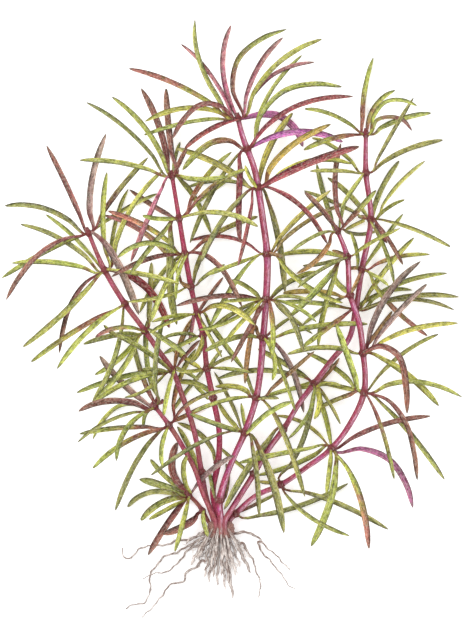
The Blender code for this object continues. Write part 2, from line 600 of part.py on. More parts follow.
class Spacing:
    """Bends the leaves up or down until every one clears what it crosses."""

    def __init__(self, leaves, joints, routes):
        self.leaves = leaves
        self.heights = leaves.chains[:, :, 2].copy()
        self.rest = self.heights.copy()
        self.sample()
        self.meet_leaves()
        self.meet_lines(joints, routes)

    def sample(self):
        """Points over every leaf, each with its share of the leaf's five heights."""
        shares = []
        for piece in range(4):
            for t in np.linspace(0.0, 1.0, 7)[:-1]:
                share = np.zeros(5)
                share[piece] = 1 - t
                share[piece + 1] = t
                shares.append(share)
        shares.append(np.array((0.0, 0.0, 0.0, 0.0, 1.0)))
        shares = np.array(shares)
        points, owner, weights = [], [], []
        for i, chain in enumerate(self.leaves.chains):
            centres = shares @ chain[:, :2]
            tangents = np.gradient(centres, axis=0)
            tangents /= np.linalg.norm(tangents, axis=1)[:, None] + 1e-12
            sideways = np.stack((-tangents[:, 1], tangents[:, 0]), axis=1)
            halves = shares @ self.leaves.halves[i] + 0.0002
            for u in (-1.0, -0.5, 0.0, 0.5, 1.0):
                points.append(centres + sideways * (halves * u)[:, None])
                owner.append(np.full(len(shares), i))
                weights.append(shares)
        self.points = np.concatenate(points)
        self.owner = np.concatenate(owner)
        self.weights = np.concatenate(weights)

    def meet_leaves(self):
        """Every sampled point that lies over or under a strip of another leaf."""
        a, b, weights_b = [], [], []
        for i, chain in enumerate(self.leaves.chains):
            for piece in range(4):
                hit, share, _ = inside_strip(
                    self.points, chain[piece, :2], chain[piece + 1, :2],
                    self.leaves.halves[i, piece] + 0.0002, self.leaves.halves[i, piece + 1] + 0.0002,
                )
                weight = np.zeros((len(hit), 5))
                weight[:, piece] = 1 - share
                weight[:, piece + 1] = share
                a.append(hit)
                b.append(np.full(len(hit), i))
                weights_b.append(weight)
        a = np.concatenate(a)
        b = np.concatenate(b)
        weights_b = np.concatenate(weights_b)
        owner = self.owner[a]
        siblings = self.leaves.whorls[owner] == self.leaves.whorls[b]
        both_at_base = (self.weights[a, 0] > 0.3) & (weights_b[:, 0] > 0.3)
        keep = (owner != b) & ~(siblings & both_at_base)
        self.a = a[keep]
        self.owner_a = owner[keep]
        self.b = b[keep]
        self.weights_a = self.weights[self.a]
        self.weights_b = weights_b[keep]
        above = self.leaves.above
        below = self.leaves.below
        up_a = (self.weights_a * above[self.owner_a]).sum(axis=1)
        down_a = (self.weights_a * below[self.owner_a]).sum(axis=1)
        up_b = (self.weights_b * above[self.b]).sum(axis=1)
        down_b = (self.weights_b * below[self.b]).sum(axis=1)
        self.over = down_a + up_b + GAP + 0.0001
        self.under = up_a + down_b + GAP + 0.0001
        low = np.minimum(self.owner_a, self.b)
        high = np.maximum(self.owner_a, self.b)
        _, self.pair = np.unique(low * 10000 + high, return_inverse=True)
        self.turned = np.where(self.owner_a < self.b, 1.0, -1.0)

    def meet_lines(self, joints, routes):
        """The same for the stems, their joints and the roots, which stay where they are."""
        found = []
        for number, (name, route) in enumerate(routes.items()):
            marks = np.linspace(0.0, route.length, max(int(route.length / 0.006), 4))
            for start, end in zip(marks, marks[1:]):
                self.meet_line(found, number, route.at(start), route.at(end),
                               route.radius(start), route.radius(end), -1)
        for number, joint in enumerate(joints):
            reach = joint.axis * (JOINT_HEIGHT / 2 + 0.0004)
            self.meet_line(found, 100 + number, joint.centre - reach, joint.centre + reach,
                           joint.outer, joint.outer, number)
        self.line_a, self.line_z, self.line_r, self.line_key = (
            np.concatenate(column) for column in zip(*found)
        )
        self.line_owner = self.owner[self.line_a]
        self.line_weights = self.weights[self.line_a]
        down = (self.line_weights * self.leaves.below[self.line_owner]).sum(axis=1)
        up = (self.line_weights * self.leaves.above[self.line_owner]).sum(axis=1)
        self.line_over = down + self.line_r + GAP + 0.0001
        self.line_under = up + self.line_r + GAP + 0.0001
        _, self.line_pair = np.unique(
            self.line_owner * 1000 + self.line_key, return_inverse=True
        )

    def meet_line(self, found, key, start, end, radius_start, radius_end, whorl):
        hit, share, away = inside_strip(
            self.points, start[:2], end[:2], radius_start + 0.0003, radius_end + 0.0003
        )
        near_base = self.weights[hit, 0] > 0.55
        own = self.leaves.whorls[self.owner[hit]] == whorl if whorl >= 0 else near_base
        hit, share, away = hit[~own], share[~own], away[~own]
        radius = radius_start + (radius_end - radius_start) * share
        height = start[2] + (end[2] - start[2]) * share
        bulge = np.sqrt(np.maximum(radius**2 - np.maximum(away - 0.0003, 0.0) ** 2, 0.0))
        found.append((hit, height, bulge, np.full(len(hit), key)))

    def height_at(self, owner, weights):
        return (self.heights[owner] * weights).sum(axis=1)

    def choose_sides(self):
        """Which leaf of each crossing pair goes over, from where the two now lie."""
        gap = self.height_at(self.owner_a, self.weights_a) - self.height_at(self.b, self.weights_b)
        firm = 0.05 + self.weights_a[:, 0] + self.weights_b[:, 0]
        total = np.bincount(self.pair, weights=gap * self.turned * firm)
        self.side = np.where(total[self.pair] >= 0, 1.0, -1.0) * self.turned
        gap = self.height_at(self.line_owner, self.line_weights) - self.line_z
        firm = 0.05 + self.line_weights[:, 0]
        total = np.bincount(self.line_pair, weights=gap * firm)
        self.line_side = np.where(total[self.line_pair] >= 0, 1.0, -1.0)

    def push(self, owners, weights, amounts, moved, counted):
        strength = (weights[:, 1:] ** 2).sum(axis=1) + 0.05
        for k in range(1, 5):
            np.add.at(moved[:, k], owners, weights[:, k] * amounts / strength)
            np.add.at(counted[:, k], owners, weights[:, k])

    def swap_sides(self, shorts, pairs, sides, tried):
        """The other way round for each crossing that still won't clear, once each."""
        worst = np.zeros(pairs.max() + 1)
        np.maximum.at(worst, pairs, shorts)
        swap = (worst > 0.0005) & ~tried
        tried |= swap
        sides[swap[pairs]] *= -1

    def settle(self, rounds):
        """Moves the heights in small shared steps, and keeps the best state met on the way."""
        self.choose_sides()
        tried = np.zeros(self.pair.max() + 1, bool)
        line_tried = np.zeros(self.line_pair.max() + 1, bool)
        low = np.maximum(self.rest - MOST_LIFT, self.leaves.below)
        high = np.minimum(self.rest + MOST_LIFT, HIGHEST)
        best = (1e9, None)
        for turn in range(rounds):
            if turn in (20, 50, 90, 140):
                self.choose_sides()
            moved = np.zeros_like(self.heights)
            counted = np.zeros_like(self.heights)
            gap = self.height_at(self.owner_a, self.weights_a) - self.height_at(self.b, self.weights_b)
            need = np.where(self.side > 0, self.over, self.under)
            short = need - self.side * gap
            bad = np.nonzero(short > 0)[0]
            share_a = 1.0 - self.weights_a[bad, 0]
            share_b = 1.0 - self.weights_b[bad, 0]
            both = share_a + share_b + 1e-6
            amounts = short[bad] * self.side[bad]
            self.push(self.owner_a[bad], self.weights_a[bad], amounts * share_a / both, moved, counted)
            self.push(self.b[bad], self.weights_b[bad], -amounts * share_b / both, moved, counted)
            gap = self.height_at(self.line_owner, self.line_weights) - self.line_z
            need = np.where(self.line_side > 0, self.line_over, self.line_under)
            line_short = need - self.line_side * gap
            hard = np.nonzero(line_short > 0)[0]
            amounts = line_short[hard] * self.line_side[hard]
            self.push(self.line_owner[hard], self.line_weights[hard], amounts, moved, counted)
            left = short[bad].sum() + 3 * line_short[hard].sum()
            if left < best[0]:
                best = (left, self.heights.copy())
            if turn in (220, 300, 380, 460, 540):
                self.swap_sides(short, self.pair, self.side, tried)
                self.swap_sides(line_short, self.line_pair, self.line_side, line_tried)
            self.heights += 1.3 * moved / np.maximum(counted, 1.0)
            if turn < 200:
                self.heights[:, 1:] += 0.02 * (self.rest - self.heights)[:, 1:]
            self.heights[:, 1:] = np.clip(self.heights, low, high)[:, 1:]
            self.leaves.straighten(self.heights)
        self.heights = best[1]
        return best[0]


def facets(joint):
    """The ring's corners as angles, and the leaf that leaves each facet, or None."""
    corners = []
    owners = []
    count = len(joint.turns)
    half = math.radians(25)
    for k in range(count):
        here = joint.turns[k]
        following = joint.turns[(k + 1) % count] + (2 * math.pi if k == count - 1 else 0.0)
        gap = following - here
        owners.append(joint.order[k])
        if gap <= WIDEST_FACET:
            corners.append(here + gap / 2)
            continue
        corners.append(here + half)
        spare = gap - 2 * half
        fillers = int(spare / WIDEST_FACET) + 1
        for j in range(fillers):
            owners.append(None)
            corners.append(here + half + spare * (j + 1) / fillers)
    # corners[k] closes facet k, so facet k runs from corners[k - 1] to corners[k].
    return corners, owners


def join_loops(shape, quad, ring, forward):
    """Faces between a facet's four corners and a leaf's first ring of three, turned to meet it best."""
    flat = forward.to_track_quat("Z", "Y").to_matrix().transposed()

    def turned(verts):
        spots = [flat @ v.co for v in verts]
        middle = sum(spots, Vector()) / len(spots)
        spots = [(s - middle).to_2d() for s in spots]
        size = max(s.length for s in spots)
        return [s / size for s in spots]

    def area(spots):
        return sum(a.x * b.y - a.y * b.x for a, b in zip(spots, spots[1:] + spots[:1]))

    quad_spots = turned(quad)
    ring_spots = turned(ring)
    if area(quad_spots) * area(ring_spots) < 0:
        ring = ring[::-1]
        ring_spots = ring_spots[::-1]
    steps = [(0, 0), (1, 0), (1, 1), (2, 1), (2, 2), (3, 2), (3, 3)]

    def stretch(start):
        return sum(
            (quad_spots[(start[0] + i) % 4] - ring_spots[(start[1] + j) % 3]).length for i, j in steps
        )

    i0, j0 = min([(i, j) for i in range(4) for j in range(3)], key=stretch)
    for (i, j), (next_i, next_j) in zip(steps, steps[1:] + [(4, 3)]):
        a = quad[(i0 + i) % 4]
        b = ring[(j0 + j) % 3]
        if next_i > i:
            shape.faces.new((a, quad[(i0 + next_i) % 4], b))
        else:
            shape.faces.new((a, ring[(j0 + next_j) % 3], b))


def whorl_mesh(joint, leaves):
    """The joint's ring and its leaves, as one closed body."""
    shape = bmesh.new()
    corners, owners = facets(joint)
    count = len(corners)
    half = joint.axis * JOINT_HEIGHT / 2
    loops = []
    for radius, lift in ((joint.inner, half * 0), (joint.outer, -half), (joint.outer, half)):
        loops.append([
            shape.verts.new(joint.centre + lift + joint.direction(turn) * radius) for turn in corners
        ])
    for k in range(count):
        before = k - 1
        for low, high in ((0, 1), (2, 0)):
            shape.faces.new((loops[low][before], loops[low][k], loops[high][k], loops[high][before]))
        facet = [loops[1][before], loops[1][k], loops[2][k], loops[2][before]]
        if owners[k] is None:
            shape.faces.new(facet)
            continue
        chain = leaves.chains[joint.first + owners[k]]
        halves = leaves.halves[joint.first + owners[k]]
        below = leaves.below[joint.first + owners[k]]
        rings = []
        for j in (1, 3) if leaves.short[joint.first + owners[k]] else (1, 2, 3):
            run = chain[j + 1][:2] - chain[j - 1][:2]
            run /= np.linalg.norm(run)
            across = np.array((-run[1], run[0], 0.0)) * halves[j]
            keel = chain[j] - (0.0, 0.0, below[j])
            rings.append([shape.verts.new(p) for p in (chain[j] + across, chain[j] - across, keel)])
        join_loops(shape, facet, rings[0], Vector(chain[1] - chain[0]))
        for near, far in zip(rings, rings[1:]):
            for a, b in ((0, 1), (1, 2), (2, 0)):
                shape.faces.new((near[a], near[b], far[b], far[a]))
        tip = shape.verts.new(chain[4])
        for a, b in ((0, 1), (1, 2), (2, 0)):
            shape.faces.new((rings[-1][a], rings[-1][b], tip))
    return shape


def crown_mesh():
    """The crown as a rounded lump whose short roots are drawn out of its own faces."""
    shape = bmesh.new()
    bmesh.ops.create_icosphere(shape, subdivisions=2, radius=1.0)
    centre = Vector(place(*CROWN_CENTRE, CROWN_HEIGHT))
    bmesh.ops.scale(shape, vec=CROWN_HALF_SIZES, verts=shape.verts)
    bmesh.ops.translate(shape, vec=centre, verts=shape.verts)
    free = [f for f in shape.faces if f.calc_center_median().y < centre[1] - 0.001]
    for x, y, z in sorted(SHORT_ROOTS, key=lambda root: root[1]):
        tip = Vector(place(x, y, z * 0.001))
        towards = (tip - centre).normalized()
        face = max(free, key=lambda f: (f.calc_center_median() - centre).normalized().dot(towards))
        free.remove(face)
        start = face.calc_center_median()
        corners = [v.co - start for v in face.verts]
        run = tip - start
        for t, size in ((0.45, 0.32), (1.0, 0.10)):
            face = bmesh.ops.extrude_discrete_faces(shape, faces=[face])["faces"][0]
            spot = start + run * t
            spot.z = max(start.z + (tip.z - start.z) * min(1.0, t * 1.5), 0.0006)
            for vert, corner in zip(face.verts, corners):
                flat = corner - run.normalized() * corner.dot(run.normalized())
                vert.co = spot + flat * size
    return shape


def main():
    clear_scene()
    plant = bpy.data.objects.new("pogostemon_stellatus", None)
    plant.empty_display_size = 0.02
    bpy.context.collection.objects.link(plant)

    stems = {name: Route(rows) for name, rows in STEMS.items()}
    roots = {name: Route(rows) for name, rows in ROOTS.items()}
    joints = [Joint(name, stems[stem], pixel, leaves) for name, (stem, pixel, leaves) in WHORLS.items()]
    for joint, (stem, _, _) in zip(joints, WHORLS.values()):
        joint.stem = stem

    leaves = Leaves(joints)
    spacing = Spacing(leaves, joints, {**stems, **roots})
    spacing.settle(620)
    leaves.chains[:, :, 2] = spacing.heights

    for name, route in stems.items():
        marks = stem_line(route, [joint.where for joint in joints if joint.stem == name])
        points = [route.at(mark) for mark in marks]
        points[-1] = points[-1] + meet_crown(route)
        radii = [route.radius(mark) for mark in marks]
        skin = material(name + "_skin", STEM_CRIMSON, 0.42)
        finish(tube(points, radii, STEM_SIDES), name, skin, plant)

    for name, route in roots.items():
        marks = np.linspace(0.0, route.length, len(ROOTS[name]) + 2)
        points = [route.at(mark) for mark in marks]
        radii = [route.radius(mark) for mark in marks]
        skin = material(name + "_skin", ROOT_GREY, 0.75)
        finish(tube(points, radii, ROOT_SIDES), name, skin, plant)

    bark = material("root_crown_bark", CROWN_BROWN, 0.75)
    finish(crown_mesh(), "root_crown", bark, plant)

    for joint in joints:
        colour = LEAF_MAROON if joint.name in MAROON_WHORLS else LEAF_GREEN
        blade = material(joint.name + "_blade", colour, 0.5)
        finish(whorl_mesh(joint, leaves), joint.name, blade, plant, smooth=False)


main()
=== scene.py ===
import heapq
import json
import math
import random

import bmesh
import bpy
import numpy as np
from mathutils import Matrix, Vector


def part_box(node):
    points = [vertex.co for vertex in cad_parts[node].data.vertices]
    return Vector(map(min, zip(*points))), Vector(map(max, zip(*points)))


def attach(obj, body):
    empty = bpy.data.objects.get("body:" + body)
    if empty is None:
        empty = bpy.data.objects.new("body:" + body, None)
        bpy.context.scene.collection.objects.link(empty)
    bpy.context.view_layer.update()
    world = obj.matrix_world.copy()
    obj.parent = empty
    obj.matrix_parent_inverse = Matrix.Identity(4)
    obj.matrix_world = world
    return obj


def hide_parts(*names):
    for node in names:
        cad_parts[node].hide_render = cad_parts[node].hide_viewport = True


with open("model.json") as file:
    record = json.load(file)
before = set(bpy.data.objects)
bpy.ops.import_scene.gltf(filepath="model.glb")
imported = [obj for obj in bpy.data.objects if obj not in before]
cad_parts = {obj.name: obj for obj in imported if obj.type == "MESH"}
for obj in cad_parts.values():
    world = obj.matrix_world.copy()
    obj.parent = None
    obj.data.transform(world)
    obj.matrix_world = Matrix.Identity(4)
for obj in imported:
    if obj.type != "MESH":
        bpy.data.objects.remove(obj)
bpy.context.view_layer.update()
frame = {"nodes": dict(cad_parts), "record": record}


# The board under the plant and the light. The plant lies on its back on a sheet of white board.
# The board is matt card. A broad lamp stands at the upper left and a weaker one at the right,
# and the view is straight down, because the plant is seen flat from its front.

def feed(tree, socket, value):
    """Set a node's input to a number or a colour, or join another node's output to it."""
    if isinstance(value, bpy.types.NodeSocket):
        tree.links.new(value, socket)
    else:
        socket.default_value = value


def add_node(tree, kind, settings=None, **values):
    """A new node of this kind, with its settings, and its inputs fed by name."""
    node = tree.nodes.new(kind)
    for name, value in (settings or {}).items():
        setattr(node, name, value)
    for name, value in values.items():
        wanted = name.replace("_", " ")
        feed(tree, next(s for s in node.inputs if s.name == wanted and s.enabled), value)
    return node


def fresh_material(name):
    """A material with an empty shader tree and a Principled shader joined to its output."""
    mat = bpy.data.materials.new(name)
    mat.use_nodes = True
    tree = mat.node_tree
    tree.nodes.clear()
    surface = tree.nodes.new("ShaderNodeBsdfPrincipled")
    output = tree.nodes.new("ShaderNodeOutputMaterial")
    tree.links.new(surface.outputs["BSDF"], output.inputs["Surface"])
    return mat, tree, surface


board_mat, tree, surface = fresh_material("white_board")
where = tree.nodes.new("ShaderNodeTexCoord")
fibres = add_node(
    tree, "ShaderNodeTexNoise", Vector=where.outputs["Object"], Scale=260.0, Detail=3.0,
)
tone = add_node(tree, "ShaderNodeValToRGB", Fac=fibres.outputs["Fac"])
tone.color_ramp.elements[0].color = (0.88, 0.88, 0.88, 1.0)
tone.color_ramp.elements[1].color = (0.93, 0.93, 0.93, 1.0)
tree.links.new(tone.outputs["Color"], surface.inputs["Base Color"])
surface.inputs["Roughness"].default_value = 0.9
surface.inputs["Specular IOR Level"].default_value = 0.15
surface.inputs["Emission Color"].default_value = (1.0, 1.0, 1.0, 1.0)
surface.inputs["Emission Strength"].default_value = 0.40

# The board reaches out of view on all sides, a hair below what lies on it.
board_reach, board_top = 1.6, -0.0002
board_corners = [
    (x * board_reach, y * board_reach, board_top) for x, y in ((-1, -1), (1, -1), (1, 1), (-1, 1))
]
board_mesh = bpy.data.meshes.new("board")
board_mesh.from_pydata(board_corners, [], [(0, 1, 2, 3)])
board_mesh.materials.append(board_mat)
board = bpy.data.objects.new("board", board_mesh)
bpy.context.scene.collection.objects.link(board)

world = bpy.data.worlds.new("studio")
world.use_nodes = True
world.node_tree.nodes["Background"].inputs["Color"].default_value = (1.0, 1.0, 1.0, 1.0)
world.node_tree.nodes["Background"].inputs["Strength"].default_value = 0.76
bpy.context.scene.world = world
bpy.context.scene.view_settings.view_transform = "Standard"


def soft_lamp(name, place, size, watts):
    """A round lamp that shines on the plant from this place."""
    data = bpy.data.lights.new(name, "AREA")
    data.shape = "DISK"
    data.size = size
    data.energy = watts
    lamp = bpy.data.objects.new(name, data)
    lamp.location = place
    lamp.rotation_euler = Vector(place).to_track_quat("Z", "Y").to_euler()
    bpy.context.scene.collection.objects.link(lamp)


soft_lamp("lamp_left", (-0.75, 0.55, 1.5), 1.1, 18.0)
soft_lamp("lamp_right", (0.9, -0.3, 1.3), 0.9, 3.0)

# The view's middle in metres, the level of most leaves, and the view's 629 lines at 0.6 mm each,
# from which the camera's height follows.
view_middle = Vector((0.0006, 0.0028, 0.0))
view_level = 0.020
view_height = 629 * 0.0006
camera_data = bpy.data.cameras.new("camera")
camera_data.lens = 400.0
camera_data.sensor_width = 36.0
camera_data.clip_end = 20.0
camera = bpy.data.objects.new("camera", camera_data)
camera_rise = view_level + view_height * camera_data.lens / camera_data.sensor_width
camera.location = view_middle + Vector((0.0, 0.0, camera_rise))
bpy.context.scene.collection.objects.link(camera)
bpy.context.scene.camera = camera


# The stems. Seven fresh round stems, 3 to 4 mm thick, crimson to rose, with a waxy skin that is
# streaked lengthwise and darker at each joint. Each grows out of the root crown and ends in a
# small blunt bud.

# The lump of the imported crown: its middle's height, its half sizes and its middle.
crown_height = 0.0078
crown_halves = np.array((0.0094, 0.0066, 0.0070))
crown_low, crown_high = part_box("root_crown")
crown_middle = Vector((
    (crown_low.x + crown_high.x) / 2, crown_high.y - float(crown_halves[1]), crown_height,
))

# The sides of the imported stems' rings.
packed_stem_sides = 5


def joined_corners(node):
    """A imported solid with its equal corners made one."""
    solid = bmesh.new()
    solid.from_mesh(frame["nodes"][node].data)
    bmesh.ops.remove_doubles(solid, verts=solid.verts, dist=0.00002)
    solid.verts.ensure_lookup_table()
    return solid


def neighbours(ring):
    """The corners that an edge joins to a corner of this ring."""
    return {edge.other_vert(corner) for corner in ring for edge in corner.link_edges}


def middle_line(node, sides):
    """The middle and radius of each ring of corners along a stem or a root, from its free end."""
    solid = joined_corners(node)
    # How far each corner is from the crown along the edges. The free end is farthest away.
    start = min(solid.verts, key=lambda corner: (corner.co - crown_middle).length)
    reached = {start: 0.0}
    waiting = [(0.0, start.index, start)]
    while waiting:
        far, _, corner = heapq.heappop(waiting)
        if far > reached[corner]:
            continue
        for edge in corner.link_edges:
            other = edge.other_vert(corner)
            length = far + edge.calc_length()
            if length < reached.get(other, math.inf):
                reached[other] = length
                heapq.heappush(waiting, (length, other.index, other))
    ring = set(sorted(solid.verts, key=lambda corner: -reached[corner])[:sides])
    seen = set()
    rows = []
    while ring:
        middle = sum((corner.co for corner in ring), Vector()) / len(ring)
        radius = sum((corner.co - middle).length for corner in ring) / len(ring)
        rows.append((*middle, radius))
        seen |= ring
        ring = neighbours(ring) - seen
    solid.free()
    return np.array(rows)


def distances(rows):
    """How far along its line each point is. A row may hold more after its x, y and z."""
    steps = np.linalg.norm(np.diff(rows[:, :3], axis=0), axis=1)
    return np.concatenate(([0.0], np.cumsum(steps)))


def bend_through(rows, marks):
    """A smooth curve through rows of numbers, read at these shares of its length."""
    along = distances(rows)
    slopes = np.gradient(rows, along, axis=0)
    at = np.clip(marks, 0.0, 1.0) * along[-1]
    i = np.clip(np.searchsorted(along, at) - 1, 0, len(along) - 2)
    span = along[i + 1] - along[i]
    t = ((at - along[i]) / span)[:, None]
    span = span[:, None]
    return (
        (2 * t**3 - 3 * t**2 + 1) * rows[i] + (t**3 - 2 * t**2 + t) * span * slopes[i]
        + (3 * t**2 - 2 * t**3) * rows[i + 1] + (t**3 - t**2) * span * slopes[i + 1]
    )


def bowed(start, knee, end, t):
    """A curve from start to end that bows towards the knee, at shares t in a column."""
    return (1 - t) ** 2 * start + 2 * t * (1 - t) * knee + t**2 * end


def tube_faces(rings, sides):
    """The faces of a closed tube: its wall from ring to ring and its two ends."""
    faces = []
    for k in range(rings - 1):
        for j in range(sides):
            a = k * sides + j
            b = k * sides + (j + 1) % sides
            faces.append((a, a + sides, b + sides, b))
    last = rings * sides - 1
    faces.append(tuple(range(sides)))
    faces.append(tuple(range(last, last - sides, -1)))
    return faces


def round_skin(points, radii, sides):
    """Corners and faces of a closed round tube, and how far each corner faces +X and +Z."""
    points = np.asarray(points)
    runs = np.gradient(points, axis=0)
    runs /= np.linalg.norm(runs, axis=1)[:, None]
    # The first ring starts level, or along X on a tube that starts upright.
    across = np.cross(runs[0], (0.0, 0.0, 1.0))
    if np.linalg.norm(across) < 0.1:
        across = np.cross(runs[0], (1.0, 0.0, 0.0))
    turns = np.arange(sides) * 2 * math.pi / sides
    corners, facings = [], []
    for point, run, radius in zip(points, runs, radii):
        across = across - run * (across @ run)
        across /= np.linalg.norm(across)
        up = np.cross(across, run)
        for turn in turns:
            side = across * math.cos(turn) + up * math.sin(turn)
            corners.append(point + side * radius)
            facings.append((side[0], side[2]))
    return np.array(corners), tube_faces(len(points), sides), np.array(facings)


def grown_piece(name, corners, faces, notes, mat, node):
    """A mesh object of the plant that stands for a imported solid, with its notes for the shader."""
    # What would sink into the board lies flat on it instead.
    corners[:, 2] = np.maximum(corners[:, 2], 0.0)
    mesh = bpy.data.meshes.new(name)
    mesh.from_pydata([tuple(corner) for corner in corners], [], faces)
    kinds = {1: ("FLOAT", "value"), 3: ("FLOAT_VECTOR", "vector"), 4: ("FLOAT_COLOR", "color")}
    for label, values in notes.items():
        kind, field = kinds[1 if values.ndim == 1 else values.shape[1]]
        layer = mesh.attributes.new(label, kind, "POINT")
        layer.data.foreach_set(field, values.astype(np.float32).ravel())
    mesh.materials.append(mat)
    mesh.shade_smooth()
    mesh.set_sharp_from_angle(angle=math.radians(75))
    mesh.validate()
    piece = bpy.data.objects.new(name, mesh)
    bpy.context.scene.collection.objects.link(piece)
    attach(piece, "root")
    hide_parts(node)


def lengthwise_grain():
    """Long fine streaks and short flecks over a stem, a leaf or a root. Grain is in millimetres."""
    group = bpy.data.node_groups.new("lengthwise_grain", "ShaderNodeTree")
    add = group.interface.new_socket
    add("Grain", in_out="INPUT", socket_type="NodeSocketVector")
    for name, value in (("Fineness", 1.0), ("Stretch", 0.12)):
        socket = add(name, in_out="INPUT", socket_type="NodeSocketFloat")
        socket.default_value = value
    for name in ("Streak", "Fleck", "Speck", "Cloud"):
        add(name, in_out="OUTPUT", socket_type="NodeSocketFloat")
    enter = group.nodes.new("NodeGroupInput")
    leave = group.nodes.new("NodeGroupOutput")
    # Streaks are drawn out lengthwise by Stretch, flecks and specks to a little over twice.
    parts = add_node(group, "ShaderNodeSeparateXYZ", Vector=enter.outputs["Grain"])
    drawn = add_node(group, "ShaderNodeMath", {"operation": "MULTIPLY"})
    group.links.new(parts.outputs["Y"], drawn.inputs[0])
    group.links.new(enter.outputs["Stretch"], drawn.inputs[1])
    long_way = add_node(
        group, "ShaderNodeCombineXYZ",
        X=parts.outputs["X"], Y=drawn.outputs[0], Z=parts.outputs["Z"],
    )
    shorter = add_node(group, "ShaderNodeVectorMath", {"operation": "MULTIPLY"})
    group.links.new(enter.outputs["Grain"], shorter.inputs[0])
    shorter.inputs[1].default_value = (1.0, 0.42, 1.0)
    # Each noise with the part of its range that is spread over 0 to 1.
    for name, vector, scale, detail, roughness, low, high in (
        ("Streak", long_way.outputs["Vector"], enter.outputs["Fineness"], 3.0, 0.6, 0.34, 0.66),
        ("Fleck", shorter.outputs["Vector"], 1.3, 2.0, 0.7, 0.38, 0.62),
        ("Speck", shorter.outputs["Vector"], 1.8, 2.0, 0.7, 0.38, 0.62),
        ("Cloud", enter.outputs["Grain"], 0.16, 2.0, 0.5, 0.34, 0.66),
    ):
        noise = add_node(
            group, "ShaderNodeTexNoise",
            Vector=vector, Scale=scale, Detail=detail, Roughness=roughness,
        )
        spread = add_node(
            group, "ShaderNodeMapRange", Value=noise.outputs["Fac"], From_Min=low, From_Max=high,
        )
        group.links.new(spread.outputs["Result"], leave.inputs[name])
    return group


grain_group = lengthwise_grain()


def blend(tree, share, first, second, way="MIX"):
    """One colour over another by a share. Each of them may be a value or a socket."""
    node = add_node(tree, "ShaderNodeMix", {"data_type": "RGBA", "blend_type": way})
    # Inputs 0, 6 and 7 and output 2 are the factor and the colours.
    for place, value in ((0, share), (6, first), (7, second)):
        feed(tree, node.inputs[place], value)
    return node.outputs[2]


def figure(tree, operation, first, second=0.0):
    """One step of arithmetic on one or two numbers, each a value or a socket."""
    node = add_node(tree, "ShaderNodeMath", {"operation": operation})
    for socket, value in zip(node.inputs, (first, second)):
        feed(tree, socket, value)
    return node.outputs[0]


def product(tree, first, *others):
    """The product of several shares."""
    for other in others:
        first = figure(tree, "MULTIPLY", first, other)
    return first


def ease(tree, value, low, high, bottom=0.0, top=1.0):
    """A smooth step of a value from low to high."""
    node = add_node(
        tree, "ShaderNodeMapRange", {"interpolation_type": "SMOOTHSTEP"},
        Value=value, From_Min=low, From_Max=high, To_Min=bottom, To_Max=top,
    )
    return node.outputs["Result"]


def lay_over(tree, colour, layers):
    """A colour under layers. Each has what its mask reads, where the mask is empty and where it is
    full, the layer's share there, its colour and how it goes on."""
    for source, empty, full, share, layer, way in layers:
        colour = blend(tree, ease(tree, source, empty, full, 0.0, share), colour, layer, way)
    return colour


def note(tree, name):
    """A mesh's note of this name, as a node."""
    return add_node(tree, "ShaderNodeAttribute", {"attribute_name": name})


def grain_of(tree, fineness, stretch):
    """The four masks of the grain, for a material that has the note grain."""
    node = add_node(
        tree, "ShaderNodeGroup", {"node_tree": grain_group},
        Grain=note(tree, "grain").outputs["Vector"], Fineness=fineness, Stretch=stretch,
    )
    return [node.outputs[name] for name in ("Streak", "Fleck", "Speck", "Cloud")]


def paint(red, green, blue):
    """A colour read from 0 to 255, as the shader wants it."""
    parts = []
    for part in (red, green, blue):
        part /= 255.0
        parts.append(part / 12.92 if part <= 0.04045 else ((part + 0.055) / 1.055) ** 2.4)
    return (*parts, 1.0)


stem_mat, tree, surface = fresh_material("stem_skin")
streak, fleck, speck, cloud = grain_of(tree, 1.7, 0.09)
# The note skin tells how far each corner faces +X, which places the painted highlight and the
# painted shade on the flanks.
skin = add_node(tree, "ShaderNodeSeparateXYZ", Vector=note(tree, "skin").outputs["Vector"])
across = skin.outputs["X"]
rose = note(tree, "rose").outputs["Fac"]
stem_colour = blend(tree, rose, paint(174, 18, 76), paint(194, 64, 120))
stem_colour = lay_over(tree, stem_colour, ((cloud, 0.45, 0.95, 0.60, paint(150, 88, 68), "MIX"),))
# The rosy stems have violet patches, and a painted highlight, a pale violet line, runs down each
# stem a little right of its middle, strongest on the rosy ones. Some stems have faded to olive
# brown.
violet = product(tree, rose, ease(tree, cloud, 0.50, 0.10, 0.0, 0.55))
painted_highlight_line = product(
    tree, ease(tree, across, -0.20, 0.25), ease(tree, across, 0.90, 0.40),
    ease(tree, streak, 0.1, 0.7, 0.15, 1.0), ease(tree, rose, 0.0, 0.8, 0.12, 0.90),
)
fade = product(tree, note(tree, "fade").outputs["Fac"], ease(tree, cloud, 0.0, 0.8, 0.6, 1.4))
for share, colour in (
    (violet, paint(176, 92, 170)), (painted_highlight_line, paint(230, 190, 212)), (fade, paint(146, 112, 66)),
):
    stem_colour = blend(tree, share, stem_colour, colour)
# Painted shade on the left and the right flank, deeper on the left, then streaks, pale specks and
# dark flecks.
stem_colour = lay_over(tree, stem_colour, (
    (across, -0.20, -0.75, 0.80, paint(130, 12, 54), "MIX"),
    (across, 0.75, 0.98, 0.70, paint(128, 34, 58), "MIX"),
    (streak, 0.70, 0.15, 0.75, paint(134, 16, 56), "MIX"),
    (speck, 0.60, 1.0, 0.45, paint(226, 150, 168), "MIX"),
    (fleck, 0.45, 0.05, 0.60, paint(116, 40, 44), "MIX"),
))
